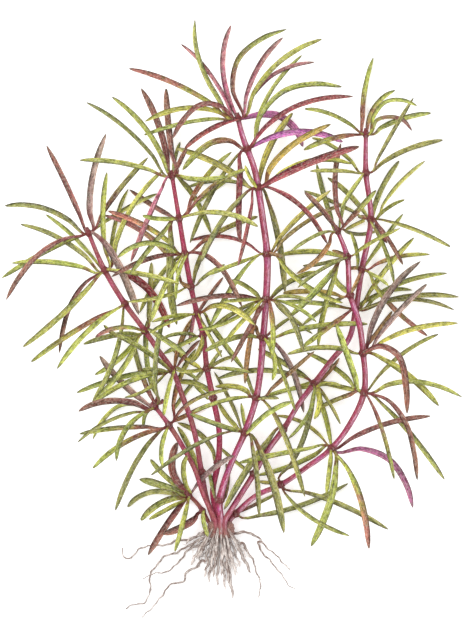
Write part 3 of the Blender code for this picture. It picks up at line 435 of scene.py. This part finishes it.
# The dark joints, and the brown foot.
joint = product(tree, note(tree, "joint").outputs["Fac"], 0.8)
foot_colour = blend(tree, streak, paint(112, 66, 58), paint(178, 132, 118))
stem_colour = blend(tree, joint, stem_colour, paint(112, 30, 42))
stem_colour = blend(tree, note(tree, "brown").outputs["Fac"], stem_colour, foot_colour)
tree.links.new(stem_colour, surface.inputs["Base Color"])
tree.links.new(ease(tree, fleck, 0.0, 1.0, 0.40, 0.58), surface.inputs["Roughness"])
bump = add_node(tree, "ShaderNodeBump", Height=streak, Strength=0.5, Distance=0.0003)
tree.links.new(bump.outputs["Normal"], surface.inputs["Normal"])
surface.inputs["Specular IOR Level"].default_value = 0.4

# How rose each stem is, from crimson at 0 to rose at 1, and how far it has faded to olive brown.
stem_tints = {
    "stem_tall": (0.85, 0.0), "stem_left": (0.0, 0.0), "stem_far_left": (0.25, 0.30),
    "stem_low_left": (0.15, 0.32), "stem_right": (0.55, 0.12), "stem_low_right": (0.7, 0.05),
    "side_shoot": (0.2, 0.60),
}
stem_lines = {name: middle_line(name, packed_stem_sides) for name in stem_tints}

# A packed leaf's width at its foot.
foot_width = 0.0022


def blades_of(node):
    """Each leaf of a whorl, from its foot to its tip: the middles and widths of its rings."""
    solid = joined_corners(node)
    found = []
    # A packed leaf is a chain of rings of three corners, which ends in one corner.
    for tip in [corner for corner in solid.verts if len(corner.link_edges) == 3]:
        rings = []
        seen = {tip}
        ring = neighbours({tip})
        while len(ring) == 3:
            rings.append(ring)
            seen |= ring
            ring = neighbours(ring) - seen
        foot = sum((corner.co for corner in ring), Vector()) / len(ring)
        rows = [(*foot, foot_width)]
        for ring in rings[::-1]:
            # The lowest corner is the keel, and the other two are the margins.
            left, right = sorted(ring, key=lambda corner: corner.co.z)[1:]
            rows.append((*((left.co + right.co) / 2), (left.co - right.co).length))
        rows.append((*tip.co, 0.0))
        found.append(np.array(rows))
    solid.free()
    return found


# Each whorl's leaves, the stem that passes closest to all their feet, and the share of its length.
whorls = {}
stem_marks = np.linspace(0.0, 1.0, 500)
for node in sorted(name for name in frame["nodes"] if name.startswith(("leaf_", "leaves_"))):
    leaves = blades_of(node)
    choices = []
    for name, line in stem_lines.items():
        fine = bend_through(line, stem_marks)
        away = [np.linalg.norm(fine[:, :3] - leaf[0, :3], axis=1) for leaf in leaves]
        farthest = np.max(away, axis=0)
        nearest = int(np.argmin(farthest))
        choices.append((farthest[nearest], name, stem_marks[nearest]))
    _, stem, share = min(choices)
    whorls[node] = {"leaves": leaves, "stem": stem, "share": share}

# The skin's sides, the space between its rings, and how much fuller than the solid it is.
stem_sides, stem_step, stem_fullness = 14, 0.0011, 1.02
# How much a stem swells at a joint, and how far to each side. How much it swells elsewhere.
joint_swell, joint_reach, stem_swell = 0.16, 0.0030, 0.022
bud_length = 0.0024
# How far the foot bows out and lies from the crown's middle, and how the brown runs up the stem.
foot_bow, foot_drop = 0.004, 0.004
brown_start, brown_length = 0.002, 0.014

for number, (name, line) in enumerate(stem_lines.items()):
    length = distances(line)[-1]
    rows = bend_through(line, np.linspace(0.0, 1.0, int(length / stem_step)))
    if name != "side_shoot":
        # The foot of the stem, which narrows into the crown.
        end = rows[-1]
        run = end[:3] - rows[-6, :3]
        knee = end + np.append(run / np.linalg.norm(run) * foot_bow, 0.0)
        foot = np.array((
            crown_middle.x + 0.95 * (end[0] - crown_middle.x), crown_middle.y - foot_drop,
            crown_middle.z + 0.80 * (end[2] - crown_middle.z), end[3] * 0.85,
        ))
        rows = np.vstack((rows, bowed(end, knee, foot, np.linspace(0.0, 1.0, 9)[1:, None])))
    distance = distances(rows)
    near = np.zeros(len(rows))
    for whorl in whorls.values():
        if whorl["stem"] == name:
            away = (distance - whorl["share"] * length) / joint_reach
            near = np.maximum(near, np.exp(-(away**2)))
    swell = np.sin(distance / 0.0071 + number) + np.sin(distance / 0.0118 + 2 * number)
    radii = rows[:, 3] * stem_fullness * (1.0 + joint_swell * near + stem_swell * swell)
    # The bud closes in on a blunt end.
    bud = np.clip(1.0 - distance / bud_length, 0.0, 0.97)
    radii *= np.sqrt(np.clip(1.0 - bud**2, 0.02, 1.0))
    corners, faces, facings = round_skin(rows[:, :3], radii, stem_sides)
    girth = np.repeat(radii * 1300.0, stem_sides)
    brown = np.clip((distance - length + brown_start) / brown_length, 0.0, 1.0) ** 1.3
    rose, fade = stem_tints[name]
    notes = {
        "brown": np.repeat(brown, stem_sides),
        "skin": np.column_stack((facings, np.zeros(len(corners)))),
        "grain": np.column_stack((
            facings[:, 0] * girth, np.repeat(distance * 1000.0, stem_sides),
            facings[:, 1] * girth + 40.0 * number,
        )),
        "joint": np.repeat(near, stem_sides),
        "rose": np.full(len(corners), rose),
        "fade": np.full(len(corners), fade),
    }
    grown_piece(name + "_skin", corners, faces, notes, stem_mat, name)


# The leaves. Soft narrow blades up to 54 mm long and 2 to 4 mm wide, green to maroon, channelled
# along a pale midrib, with darker margins. Each whorl of them grows from a swollen dark joint that
# is one with its stem.

leaf_mat, tree, surface = fresh_material("leaf_blade")
streak, fleck, speck, cloud = grain_of(tree, 1.35, 0.12)
blade = add_node(tree, "ShaderNodeSeparateXYZ", Vector=note(tree, "blade").outputs["Vector"])
side = figure(tree, "ABSOLUTE", blade.outputs["X"])
along = figure(tree, "ADD", blade.outputs["Y"], ease(tree, cloud, 0.0, 1.0, -0.14, 0.14))
foot_tint = note(tree, "foot_tint").outputs["Color"]
tip_tint = note(tree, "tip_tint").outputs["Color"]
leaf_colour = blend(tree, ease(tree, along, 0.22, 0.80), foot_tint, tip_tint)
# Painted shade darkens one half of each blade, most of all at its margin.
lean = product(tree, blade.outputs["X"], blade.outputs["Z"])
leaf_colour = lay_over(
    tree, leaf_colour, ((lean, 0.0, 0.85, 0.97, (0.25, 0.26, 0.22, 1.0), "MULTIPLY"),),
)
# A painted highlight brightens and pales the other half.
lit_half = blend(tree, 1.0, leaf_colour, (1.42, 1.38, 1.25, 1.0), "MULTIPLY")
lit_half = blend(tree, 1.0, lit_half, (0.13, 0.12, 0.09, 1.0), "SCREEN")
leaf_colour = lay_over(tree, leaf_colour, ((lean, -0.10, -0.70, 0.85, lit_half, "MIX"),))
# A thin pale midrib, dark margins, and darker stretches that come in patches.
leaf_colour = lay_over(tree, leaf_colour, (
    (side, 0.24, 0.04, 0.60, (0.14, 0.14, 0.11, 1.0), "SCREEN"),
    (side, 0.78, 1.0, 0.55, (0.36, 0.32, 0.28, 1.0), "MULTIPLY"),
    (cloud, 0.50, 0.05, 0.60, (0.50, 0.54, 0.50, 1.0), "MULTIPLY"),
))
flush = product(
    tree, ease(tree, side, 0.30, 1.0, 0.25, 1.0), ease(tree, cloud, 0.50, 0.95, 0.0, 0.34),
)
leaf_colour = blend(tree, flush, leaf_colour, paint(132, 66, 56))
# Dark streaks, dark specks and pale flecks, then a dull tip and a dark red foot.
leaf_colour = lay_over(tree, leaf_colour, (
    (streak, 0.60, 0.12, 0.85, (0.35, 0.36, 0.28, 1.0), "MULTIPLY"),
    (speck, 0.44, 0.08, 0.85, (0.36, 0.34, 0.32, 1.0), "MULTIPLY"),
    (fleck, 0.50, 0.92, 0.72, (0.24, 0.23, 0.19, 1.0), "SCREEN"),
    (blade.outputs["Y"], 0.93, 1.0, 0.6, paint(88, 74, 52), "MIX"),
    (along, 0.20, -0.05, 0.85, paint(118, 42, 46), "MIX"),
))
tree.links.new(leaf_colour, surface.inputs["Base Color"])
tree.links.new(ease(tree, fleck, 0.0, 1.0, 0.44, 0.64), surface.inputs["Roughness"])
ribbing = figure(tree, "ADD", streak, product(tree, speck, 0.5))
bump = add_node(tree, "ShaderNodeBump", Height=ribbing, Strength=0.5, Distance=0.0002)
tree.links.new(bump.outputs["Normal"], surface.inputs["Normal"])
surface.inputs["Specular IOR Level"].default_value = 0.35

# The colours of the leaves, foot first and tip second.
leaf_paints = {
    "G": (paint(178, 184, 74), paint(182, 188, 82)),
    "O": (paint(154, 154, 68), paint(160, 162, 76)),
    "Y": (paint(202, 198, 72), paint(206, 204, 86)),
    "C": (paint(184, 156, 58), paint(188, 162, 70)),
    "R": (paint(172, 40, 66), paint(168, 62, 66)),
    "M": (paint(152, 74, 72), paint(158, 96, 78)),
    "P": (paint(200, 100, 134), paint(194, 120, 126)),
    "V": (paint(202, 104, 176), paint(198, 108, 170)),
    "B": (paint(166, 108, 62), paint(170, 128, 68)),
    "S": (paint(172, 130, 132), paint(178, 146, 138)),
    "K": (paint(184, 192, 72), paint(180, 106, 96)),
    "J": (paint(162, 84, 68), paint(178, 184, 70)),
}
joint_paint = paint(120, 36, 48)

# Which colour each leaf is, clockwise round its joint from straight up.
leaf_letters = {
    "leaves_tall_1": "JPGPVRMGYKPGP",
    "leaves_tall_2": "GGRVROJ",
    "leaves_tall_3": "YCRYROROGYY",
    "leaves_tall_4": "YCBGGGR",
    "leaves_tall_5": "GGGGOJBMGOGMGG",
    "leaves_tall_6": "JGSGGGBB",
    "leaves_tall_7": "BGOOGYG",
    "leaves_tall_8": "GOOOGGOG",
    "leaves_left_1": "GMGGPGOGMM",
    "leaves_left_2": "JGJGOGGM",
    "leaves_left_3": "JMGGGMGK",
    "leaves_left_4": "OGGBK",
    "leaves_left_5": "MYGGPGG",
    "leaves_left_6": "OYGO",
    "leaves_left_7": "OOGOGY",
    "leaves_left_8": "GG",
    "leaf_left_9": "O",
    "leaves_far_left_1": "SJGSMGOM",
    "leaves_far_left_2": "GGGGRMGGOG",
    "leaves_far_left_3": "GGJ",
    "leaves_far_left_4": "GGGGGKG",
    "leaves_far_left_5": "BMOGGGGOG",
    "leaf_far_left_6": "G",
    "leaves_low_left_1": "ORRGGGOMSJG",
    "leaves_low_left_2": "JJBGOJJ",
    "leaves_right_1": "JJGGKJG",
    "leaves_right_2": "OOGGG",
    "leaves_right_3": "GGGORMGYBOG",
    "leaves_right_4": "GJGKBBG",
    "leaves_right_5": "GGGOOJG",
    "leaves_right_6": "BGOYGGOG",
    "leaf_right_7": "O",
    "leaf_right_8": "G",
    "leaves_low_right_1": "MGJOBOMG",
    "leaves_low_right_2": "GGGGOGB",
    "leaves_low_right_3": "GCG",
    "leaves_low_right_4": "SBSYYMO",
    "leaves_low_right_5": "OGGMJJGGG",
    "leaves_low_right_6": "MVKGGGGYG",
    "leaves_low_right_7": "OOGY",
    "leaves_low_right_8": "JO",
    "leaves_side_shoot": "SGMGGOGGMG",
    "leaves_base_left": "GM",
    "leaves_base_front": "BO",
}

# How light a leaf may be, and less for the red ones, which are never pale. Then how far its red,
# green and blue may stray.
darkest, lightest, lightest_red = 0.72, 1.38, 1.04
red_letters = "RM"
tint_strays = ((0.95, 1.06), (0.95, 1.04), (0.85, 1.2))

# Across a blade from margin to margin: the side, and the depth of its face in shares of the half
# width, then how far the underside lies below that in millimetres.
blade_sides = np.array((-1.0, -0.86, -0.58, -0.26, -0.09, 0.0, 0.09, 0.26, 0.58, 0.86, 1.0))
blade_sinks = np.array((0.0, -0.03, -0.10, -0.19, -0.25, -0.31, -0.25, -0.19, -0.10, -0.03, 0.0))
blade_depths = np.array((0.0, 0.13, 0.20, 0.27, 0.42, 0.52, 0.42, 0.27, 0.20, 0.13, 0.0))
# The underside's corners, in order back to the first margin, and each corner's side.
under = np.arange(len(blade_sides) - 2, 0, -1)
ring_sides = np.concatenate((blade_sides, blade_sides[under]))
# The underside reads the grain elsewhere than the face does.
ring_shifts = np.concatenate((np.zeros(len(blade_sides)), np.full(len(under), 5.0)))
# The rings of a blade, as shares of its length. They are closer together towards the tip.
blade_marks = 1.0 - (1.0 - np.linspace(0.0, 1.0, 27)) ** 1.35
# How much wider than the solid a blade is, and its least half width.
blade_fullness, least_half = 1.08, 0.00006
# How much the width waves, and each margin ripples up and down, with the lengths of the waves.
wave_size, wave_length = 0.045, 0.0042
ripple_size, ripple_lengths = 0.10, (0.0031, 0.0035)
# How high the middle of a lying leaf is near its foot, and how thick a leaf is on the board.
lying_height, lying_thickness = 0.0007, 0.00018


def phase(luck):
    """Where a wave starts."""
    return luck.uniform(0, 6.3)


def leaf_outline(along, full, blunt):
    """A leaf's half width from foot to tip, in shares of its greatest, which it reaches at full."""
    foot = np.clip(along / full, 0.0, 1.0)
    foot = 0.42 + 0.58 * foot * foot * (3 - 2 * foot)
    tip = np.clip((along - 0.72) / 0.28, 0.0, 1.0)
    return foot * (1.0 - tip**2.6) ** blunt


def leaf_blade(rows, start, luck, seed):
    """One leaf's corners, faces and notes, from its foot inside the joint to its tip."""
    rows = np.vstack(((*start, rows[0, 3]), rows))
    full = distances(rows)[-1]
    marks = blade_marks
    travel = marks * full
    line = bend_through(rows, marks)[:, :3]
    line[:, 2] = np.maximum(line[:, 2], lying_height * np.clip(1.2 - marks, 0.15, 1.0))
    widest = rows[1:, 3].max() / 2
    beat = np.sin(travel / wave_length + phase(luck)) * np.sin(marks * 9 + phase(luck))
    outline = leaf_outline(marks, luck.uniform(0.30, 0.50), luck.uniform(0.42, 0.72))
    halves = np.maximum(widest * blade_fullness * outline * (1.0 + wave_size * beat), least_half)
    roll = luck.uniform(-0.25, 0.25) + luck.uniform(-0.45, 0.45) * marks**1.5
    ripples = [
        ripple_size * np.sin(travel / length + phase(luck)) * np.sin(marks * math.pi)
        for length in ripple_lengths
    ]
    # Which half of the blade takes the painted shade and which the painted highlight, and how
    # strongly.
    lean = luck.choice((-1.0, 1.0)) * luck.uniform(0.5, 1.0)
    runs = np.gradient(line, axis=0)
    runs /= np.linalg.norm(runs, axis=1)[:, None]
    corners, blade_note, grain_note = [], [], []
    across = None
    for i, (point, run, half) in enumerate(zip(line, runs, halves)):
        # A ring stays level across, but where the leaf points up or down it follows the last one.
        level = np.cross(run, (0.0, 0.0, 1.0))
        across = level if across is None or np.linalg.norm(level) > 0.25 else across
        across = across - run * (across @ run)
        across = across / np.linalg.norm(across)
        up = np.cross(across, run)
        side = across * math.cos(roll[i]) + up * math.sin(roll[i])
        over = np.cross(side, run)
        ripple = np.where(blade_sides < 0, ripples[0][i], ripples[1][i]) * blade_sides**2
        lift = (blade_sinks + ripple) * half
        face = point + side * (blade_sides * half)[:, None] + over * lift[:, None]
        # Thinner where it is narrow, and thicker at the foot.
        thick = 0.45 + 0.55 * min(half / widest, 1.0) + 0.7 * max(0.0, 1.0 - marks[i] / 0.12)
        back = face - over * (blade_depths * 0.001 * thick)[:, None]
        # A margin that would sink into the board lies on it, and keeps some thickness there.
        face[:, 2] = np.maximum(face[:, 2], lying_thickness)
        corners.append(np.vstack((face, back[under])))
        ones = np.ones(len(ring_sides))
        blade_note.append(np.column_stack((ring_sides, ones * marks[i], ones * lean)))
        grain_note.append(np.column_stack((
            ring_sides * half * 1000.0, ones * travel[i] * 1000.0, seed * 3.7 + ring_shifts,
        )))
    faces = tube_faces(len(line), len(ring_sides))
    return np.vstack(corners), faces, np.vstack(blade_note), np.vstack(grain_note)


# A collar's rings, as shares of how far it reaches along the stem, and its sides. Then how much
# its radius may be over the stem's, and how far from its middle the stem's direction is read.
collar_marks, collar_reach, collar_sides = np.linspace(-1.0, 1.0, 13), 0.0036, 16
collar_wall, collar_half = 0.0012, 0.0012
# A blade starts inside its joint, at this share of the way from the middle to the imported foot.
foot_start = 0.45


def joint_collar(middle, axis, stem_radius, outer):
    """The swollen ring of the joint, closing in on the stem above and below."""
    points = middle + axis * (collar_marks * collar_reach)[:, None]
    inner = stem_radius * 0.96
    bulge = np.exp(-((collar_marks / 0.46) ** 2)) * (1 - collar_marks**6)
    return round_skin(points, inner + (outer - inner) * bulge, collar_sides)


class JoinedMesh:
    """The corners, faces and shader notes of closed bodies that become one mesh."""

    def __init__(self):
        self.corners, self.faces, self.notes = [], [], {}
        self.count = 0

    def add(self, corners, faces, **notes):
        """One more body, with what each note says at each of its corners."""
        self.corners.append(corners)
        self.faces += [tuple(j + self.count for j in face) for face in faces]
        for label, values in notes.items():
            self.notes.setdefault(label, []).append(values)
        self.count += len(corners)

    def finish(self, name, mat, node, slot):
        """The one mesh of all bodies so far."""
        notes = {label: np.concatenate(parts) for label, parts in self.notes.items()}
        grown_piece(name, np.vstack(self.corners), self.faces, notes, mat, node)


def bearing(leaf, middle):
    """Which way a leaf points from the middle of its joint, clockwise from straight up."""
    reach = leaf[-1, :3] - middle
    return math.atan2(reach[0], reach[1]) % (2 * math.pi)


for number, (node, whorl) in enumerate(whorls.items()):
    luck = random.Random(100 + number)
    whorl_mesh = JoinedMesh()
    line = stem_lines[whorl["stem"]]
    apart = collar_half / distances(line)[-1]
    here = bend_through(line, whorl["share"] + np.array((-apart, 0.0, apart)))
    middle, stem_radius = here[1, :3], here[1, 3]
    axis = here[0, :3] - here[2, :3]
    axis /= np.linalg.norm(axis)
    feet_away = np.median([np.linalg.norm(leaf[0, :3] - middle) for leaf in whorl["leaves"]])
    outer = min(feet_away, stem_radius + collar_wall)
    corners, faces, _ = joint_collar(middle, axis, stem_radius, outer)
    away = (corners - middle) * 1000
    along = np.repeat(collar_marks, collar_sides) * collar_reach * 1000
    tint = np.tile(joint_paint, (len(corners), 1))
    whorl_mesh.add(
        corners, faces, blade=np.tile((0.5, 0.1, 0.0), (len(corners), 1)),
        grain=np.column_stack((away[:, 0], along, away[:, 2] + number)),
        foot_tint=tint, tip_tint=tint,
    )
    letters = leaf_letters[node]
    ordered = sorted(whorl["leaves"], key=lambda leaf: bearing(leaf, middle))
    for k, leaf in enumerate(ordered):
        letter = letters[k % len(letters)]
        start = middle + (leaf[0, :3] - middle) * foot_start
        corners, faces, blade_note, grain_note = leaf_blade(leaf, start, luck, number * 17 + k)
        light = luck.uniform(darkest, lightest_red if letter in red_letters else lightest)
        tint = np.array([*(light * luck.uniform(low, high) for low, high in tint_strays), 1.0])
        foot_paint, tip_paint = (np.array(colour) * tint for colour in leaf_paints[letter])
        whorl_mesh.add(
            corners, faces, blade=blade_note, grain=grain_note,
            foot_tint=np.tile(foot_paint, (len(corners), 1)),
            tip_tint=np.tile(tip_paint, (len(corners), 1)),
        )
    slot = next(
        part["material_slot"] for part in frame["record"]["subparts"] if part["node"] == node
    )
    whorl_mesh.finish(node + "_blades", leaf_mat, node, slot)


# The root crown. A brown, fibrous rootstock where the feet of all stems meet side by side, with
# many thin pale roots that grow out of it, droop and fan out over the board.

root_mat, tree, surface = fresh_material("root_bark")
streak, fleck, speck, cloud = grain_of(tree, 1.6, 0.2)
shade = figure(
    tree, "ADD", note(tree, "shade").outputs["Fac"], ease(tree, cloud, 0.0, 1.0, -0.25, 0.25),
)
# The note shade holds each root's own tone, with painted light on its top and painted shade on its
# flanks.
root_colour = blend(tree, shade, paint(134, 112, 103), paint(250, 238, 231))
root_colour = lay_over(tree, root_colour, (
    (streak, 0.55, 0.10, 0.55, paint(134, 112, 102), "MIX"),
    (fleck, 0.5, 1.0, 0.6, paint(242, 236, 230), "MIX"),
))
wood_colour = blend(tree, streak, paint(92, 54, 48), paint(176, 128, 116))
wood_colour = lay_over(tree, wood_colour, ((speck, 0.5, 1.0, 0.5, paint(200, 160, 150), "MIX"),))
root_colour = blend(tree, note(tree, "wood").outputs["Fac"], root_colour, wood_colour)
tree.links.new(root_colour, surface.inputs["Base Color"])
tree.links.new(ease(tree, fleck, 0.0, 1.0, 0.55, 0.8), surface.inputs["Roughness"])
# Root hairs too fine to see one by one make the edges of each root pale.
surface.inputs["Sheen Weight"].default_value = 0.2
surface.inputs["Sheen Roughness"].default_value = 0.4
bump = add_node(tree, "ShaderNodeBump", Height=streak, Strength=0.6, Distance=0.0003)
tree.links.new(bump.outputs["Normal"], surface.inputs["Normal"])


class RootMesh(JoinedMesh):
    """A group of roots that become one mesh, and the line of each."""

    def __init__(self):
        super().__init__()
        self.lines = []

    def add_root(self, line, radii, sides, shades, wood, seed):
        """A root along a line, with how pale and how woody it is at each ring."""
        corners, faces, facings = round_skin(line, radii, sides)
        along = distances(line) * 1000.0
        shades = shades + 0.34 * np.sin(along / 1.9 + seed) * np.sin(along / 3.3 + 2 * seed)
        # Painted light makes the upper side pale, and painted shade keeps the flanks dark.
        painted_top_light_and_flank_shade = 1.1 * (np.maximum(facings[:, 1], 0.0) - 0.66)
        turns = np.tile(np.arange(sides) * 2 * math.pi / sides, len(line))
        girth = np.repeat(radii * 1300.0, sides)
        self.lines.append(line)
        self.add(
            corners, faces, shade=np.repeat(shades, sides) + painted_top_light_and_flank_shade, wood=np.repeat(wood, sides),
            grain=np.column_stack((
                np.cos(turns) * girth, np.repeat(along, sides), np.sin(turns) * girth + seed * 5.3,
            )),
        )


crown = RootMesh()
luck = random.Random(5)
middle = np.array(crown_middle)

# The rootstock: three wrinkled lumps side by side behind the stems' feet, by place and girth.
lumps = ((-0.0044, 0.0042), (0.0, 0.0048), (0.0044, 0.0042))
lump_rings = 24
for k, (aside, girth) in enumerate(lumps):
    t = np.linspace(0.55, -1.0, lump_rings)
    heart = middle + np.column_stack((aside * (1.0 + 0.15 * t), crown_halves[1] * t, 0.0 * t))
    closing = np.sqrt(1.0 - np.linspace(0.90, -0.96, lump_rings) ** 2)
    wrinkles = 1.0 + 0.06 * np.sin(t * 19 + k)
    crown.add_root(heart, closing * wrinkles * girth, lump_rings, 0.3, np.ones(lump_rings), k)


def drooping_root(start, end, thick, shade, seed, wander, drop, sides):
    """A root from the crown to its end, which sinks to the board and sways on the way."""
    s = np.linspace(0.0, 1.0, 26)
    run = end - start
    reach = math.hypot(run[0], run[1])
    travel = s * reach
    sideways = np.array((run[1], -run[0], 0.0)) / reach
    sway = 0.0
    for size, shortest, longest in ((1.0, 0.006, 0.010), (0.5, 0.0025, 0.004)):
        waves = travel / luck.uniform(shortest, longest) * 2 * math.pi
        sway = sway + size * np.sin(waves + phase(luck))
    line = start + run * s[:, None] + sideways * (sway * wander * np.sin(s * math.pi / 2))[:, None]
    fall = np.clip(s / drop, 0.0, 1.0)
    line[:, 2] = start[2] + (end[2] - start[2]) * fall * fall * (3 - 2 * fall)
    # Spindle-shaped and knotty, with a rounded end.
    knots = 1.0 + 0.16 * np.sin(travel / 0.0016 + seed) * np.sin(travel / 0.0041)
    radii = thick * (0.62 + 0.62 * np.sin(s * 2.7)) * knots
    radii = radii * np.sqrt(np.clip(1.0 - ((s - 0.88) / 0.12).clip(0.0, 1.0) ** 2, 0.05, 1.0))
    line[:, 2] = np.maximum(line[:, 2], radii)
    wood = np.clip(luck.uniform(0.5, 0.9) - s * luck.uniform(2.0, 4.5), 0.0, 1.0)
    crown.add_root(line, radii, sides, shade, wood, seed)


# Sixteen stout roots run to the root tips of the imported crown, which end in small faces.
tip_area = 0.0000003
solid = joined_corners("root_crown")
root_tips = [
    np.array(face.calc_center_median()) for face in solid.faces if face.calc_area() < tip_area
]
solid.free()
for k, tip in enumerate(root_tips):
    fan = math.atan2(tip[0] - middle[0], middle[1] - tip[1])
    start = middle + crown_halves * (math.sin(fan) * 0.85, -0.05, luck.uniform(0.0, 0.85))
    thick, shade = luck.uniform(0.00052, 0.00084), luck.uniform(0.10, 0.60)
    drooping_root(start, tip, thick, shade, k, 0.0004, luck.uniform(0.5, 0.9), 9)

# More roots between and behind them: four nearly as stout, spread evenly, then thin pale ones.
more_stout, more_fine, widest_fan = 4, 22, 1.40
for k in range(more_stout + more_fine):
    fine = k >= more_stout
    if fine:
        fan = max(-widest_fan, min(widest_fan, luck.gauss(0.0, 0.75)))
    else:
        fan = -1.2 + 2.1 * k / 3 + luck.uniform(-0.08, 0.08)
    rise = luck.uniform(-0.9, 0.75)
    back = -math.cos(fan) * luck.uniform(0.1, 0.6)
    start = middle + crown_halves * (math.sin(fan) * 0.82, back, rise * 0.8)
    reach = luck.uniform(0.018, 0.034) * (1.0 - 0.15 * abs(fan))
    turn = fan * luck.uniform(0.80, 1.0)
    end = middle + np.array((math.sin(turn) * reach, -math.cos(turn) * reach, 0.0))
    end[2] = luck.uniform(0.0005, 0.0035)
    if fine:
        thick, shade, wander, sides = (0.00016, 0.00034), (0.50, 1.1), 0.0010, 6
    else:
        thick, shade, wander, sides = (0.00045, 0.00070), (0.10, 0.60), 0.0005, 8
    thick, shade = luck.uniform(*thick), luck.uniform(*shade)
    drooping_root(start, end, thick, shade, 20 + k, wander, luck.uniform(0.35, 0.9), sides)

crown.finish("root_crown_fibres", root_mat, "root_crown", "crown")


# The long roots. Seven pale, wiry roots about 1 mm thick that leave the crown and wander over the
# board, thinning to a hair, each with a few short side roots. Each starts on the crown, on one of
# its stout roots, or as a branch of the long root before it.

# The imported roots' sides, the space between the rings of the visible ones, and how much thicker
# they are than the solids.
packed_root_sides, root_step, root_fullness = 4, 0.0008, 1.3
root_sides, root_shade = 8, -0.10
# The rings of the stretch between a root's start and the solid's first ring.
lead_rings = 7
# One side root for each stretch of this length, its radius where it starts, and its sides.
twig_apart, twig_radius, twig_sides = 0.013, 0.00018, 5

first_stout = len(lumps)
last_stout = first_stout + len(root_tips) + more_stout
places_to_start = np.vstack(crown.lines[first_stout:last_stout])
long_roots = sorted(name for name in frame["nodes"] if name.startswith(("root_left", "root_right")))
for number, node in enumerate(long_roots):
    root = RootMesh()
    luck = random.Random(40 + number)
    rows = middle_line(node, packed_root_sides)[::-1]
    length = distances(rows)[-1]
    t = np.linspace(0.0, 1.0, int(length / root_step))
    travel = t * length
    fine = bend_through(rows, t)
    line = fine[:, :3].copy()
    runs = np.gradient(line, axis=0)
    runs /= np.linalg.norm(runs, axis=1)[:, None]
    sideways = np.cross(runs, (0.0, 0.0, 1.0))
    bends = (
        0.00040 * np.sin(travel / 0.0021 + number)
        + 0.00022 * np.sin(travel / 0.0009 + 2 * number)
    )
    line += sideways * (bends * np.sin(np.clip(t * 8, 0, math.pi / 2)))[:, None]
    knots = 1.0 + 0.16 * np.sin(travel / 0.0012) * np.sin(travel / 0.0047)
    radii = fine[:, 3] * root_fullness * knots * (1.0 - 0.30 * t)
    line[:, 2] = np.maximum(line[:, 2], radii)
    # It starts at the nearest place on another root that isn't ahead of it.
    reach = places_to_start - line[0]
    away = np.linalg.norm(reach, axis=1)
    away[reach @ runs[0] > 0.3 * away] = math.inf
    origin = places_to_start[int(np.argmin(away))]
    knee = line[0] - runs[0] * min(0.5 * away.min(), 0.003)
    lead = np.linspace(0.0, 1.0, lead_rings + 1)[:-1, None]
    whole = np.vstack((bowed(origin, knee, line[0], lead), line))
    girths = np.concatenate((np.full(lead_rings, radii[0]), radii))
    wood = np.clip(0.5 - np.linspace(0, 1, len(whole)) * 4, 0, 1)
    root.add_root(whole, girths, root_sides, root_shade, wood, number)
    places_to_start = np.vstack((places_to_start, line[4:]))
    for k in range(int(length / twig_apart)):
        at = int(luck.uniform(0.15, 0.95) * (len(line) - 1))
        way = luck.choice((-1.0, 1.0))
        reach = luck.uniform(0.002, 0.006)
        s = np.linspace(0.0, 1.0, 9)
        lean = luck.uniform(0.5, 1.4)
        twig = line[at] + (runs[at] * lean + sideways[at] * way) * (s * reach)[:, None]
        twig += runs[at] * (0.0005 * np.sin(s * 7 + k))[:, None]
        twig[:, 2] = np.maximum(line[at, 2] * (1 - s) + 0.0003, 0.0002)
        girths = twig_radius * (1.0 - 0.6 * s)
        paleness = luck.uniform(0.6, 1.0)
        root.add_root(twig, girths, twig_sides, paleness, np.zeros(len(s)), 30 + k)
    root.finish(node + "_wander", root_mat, node, "root")
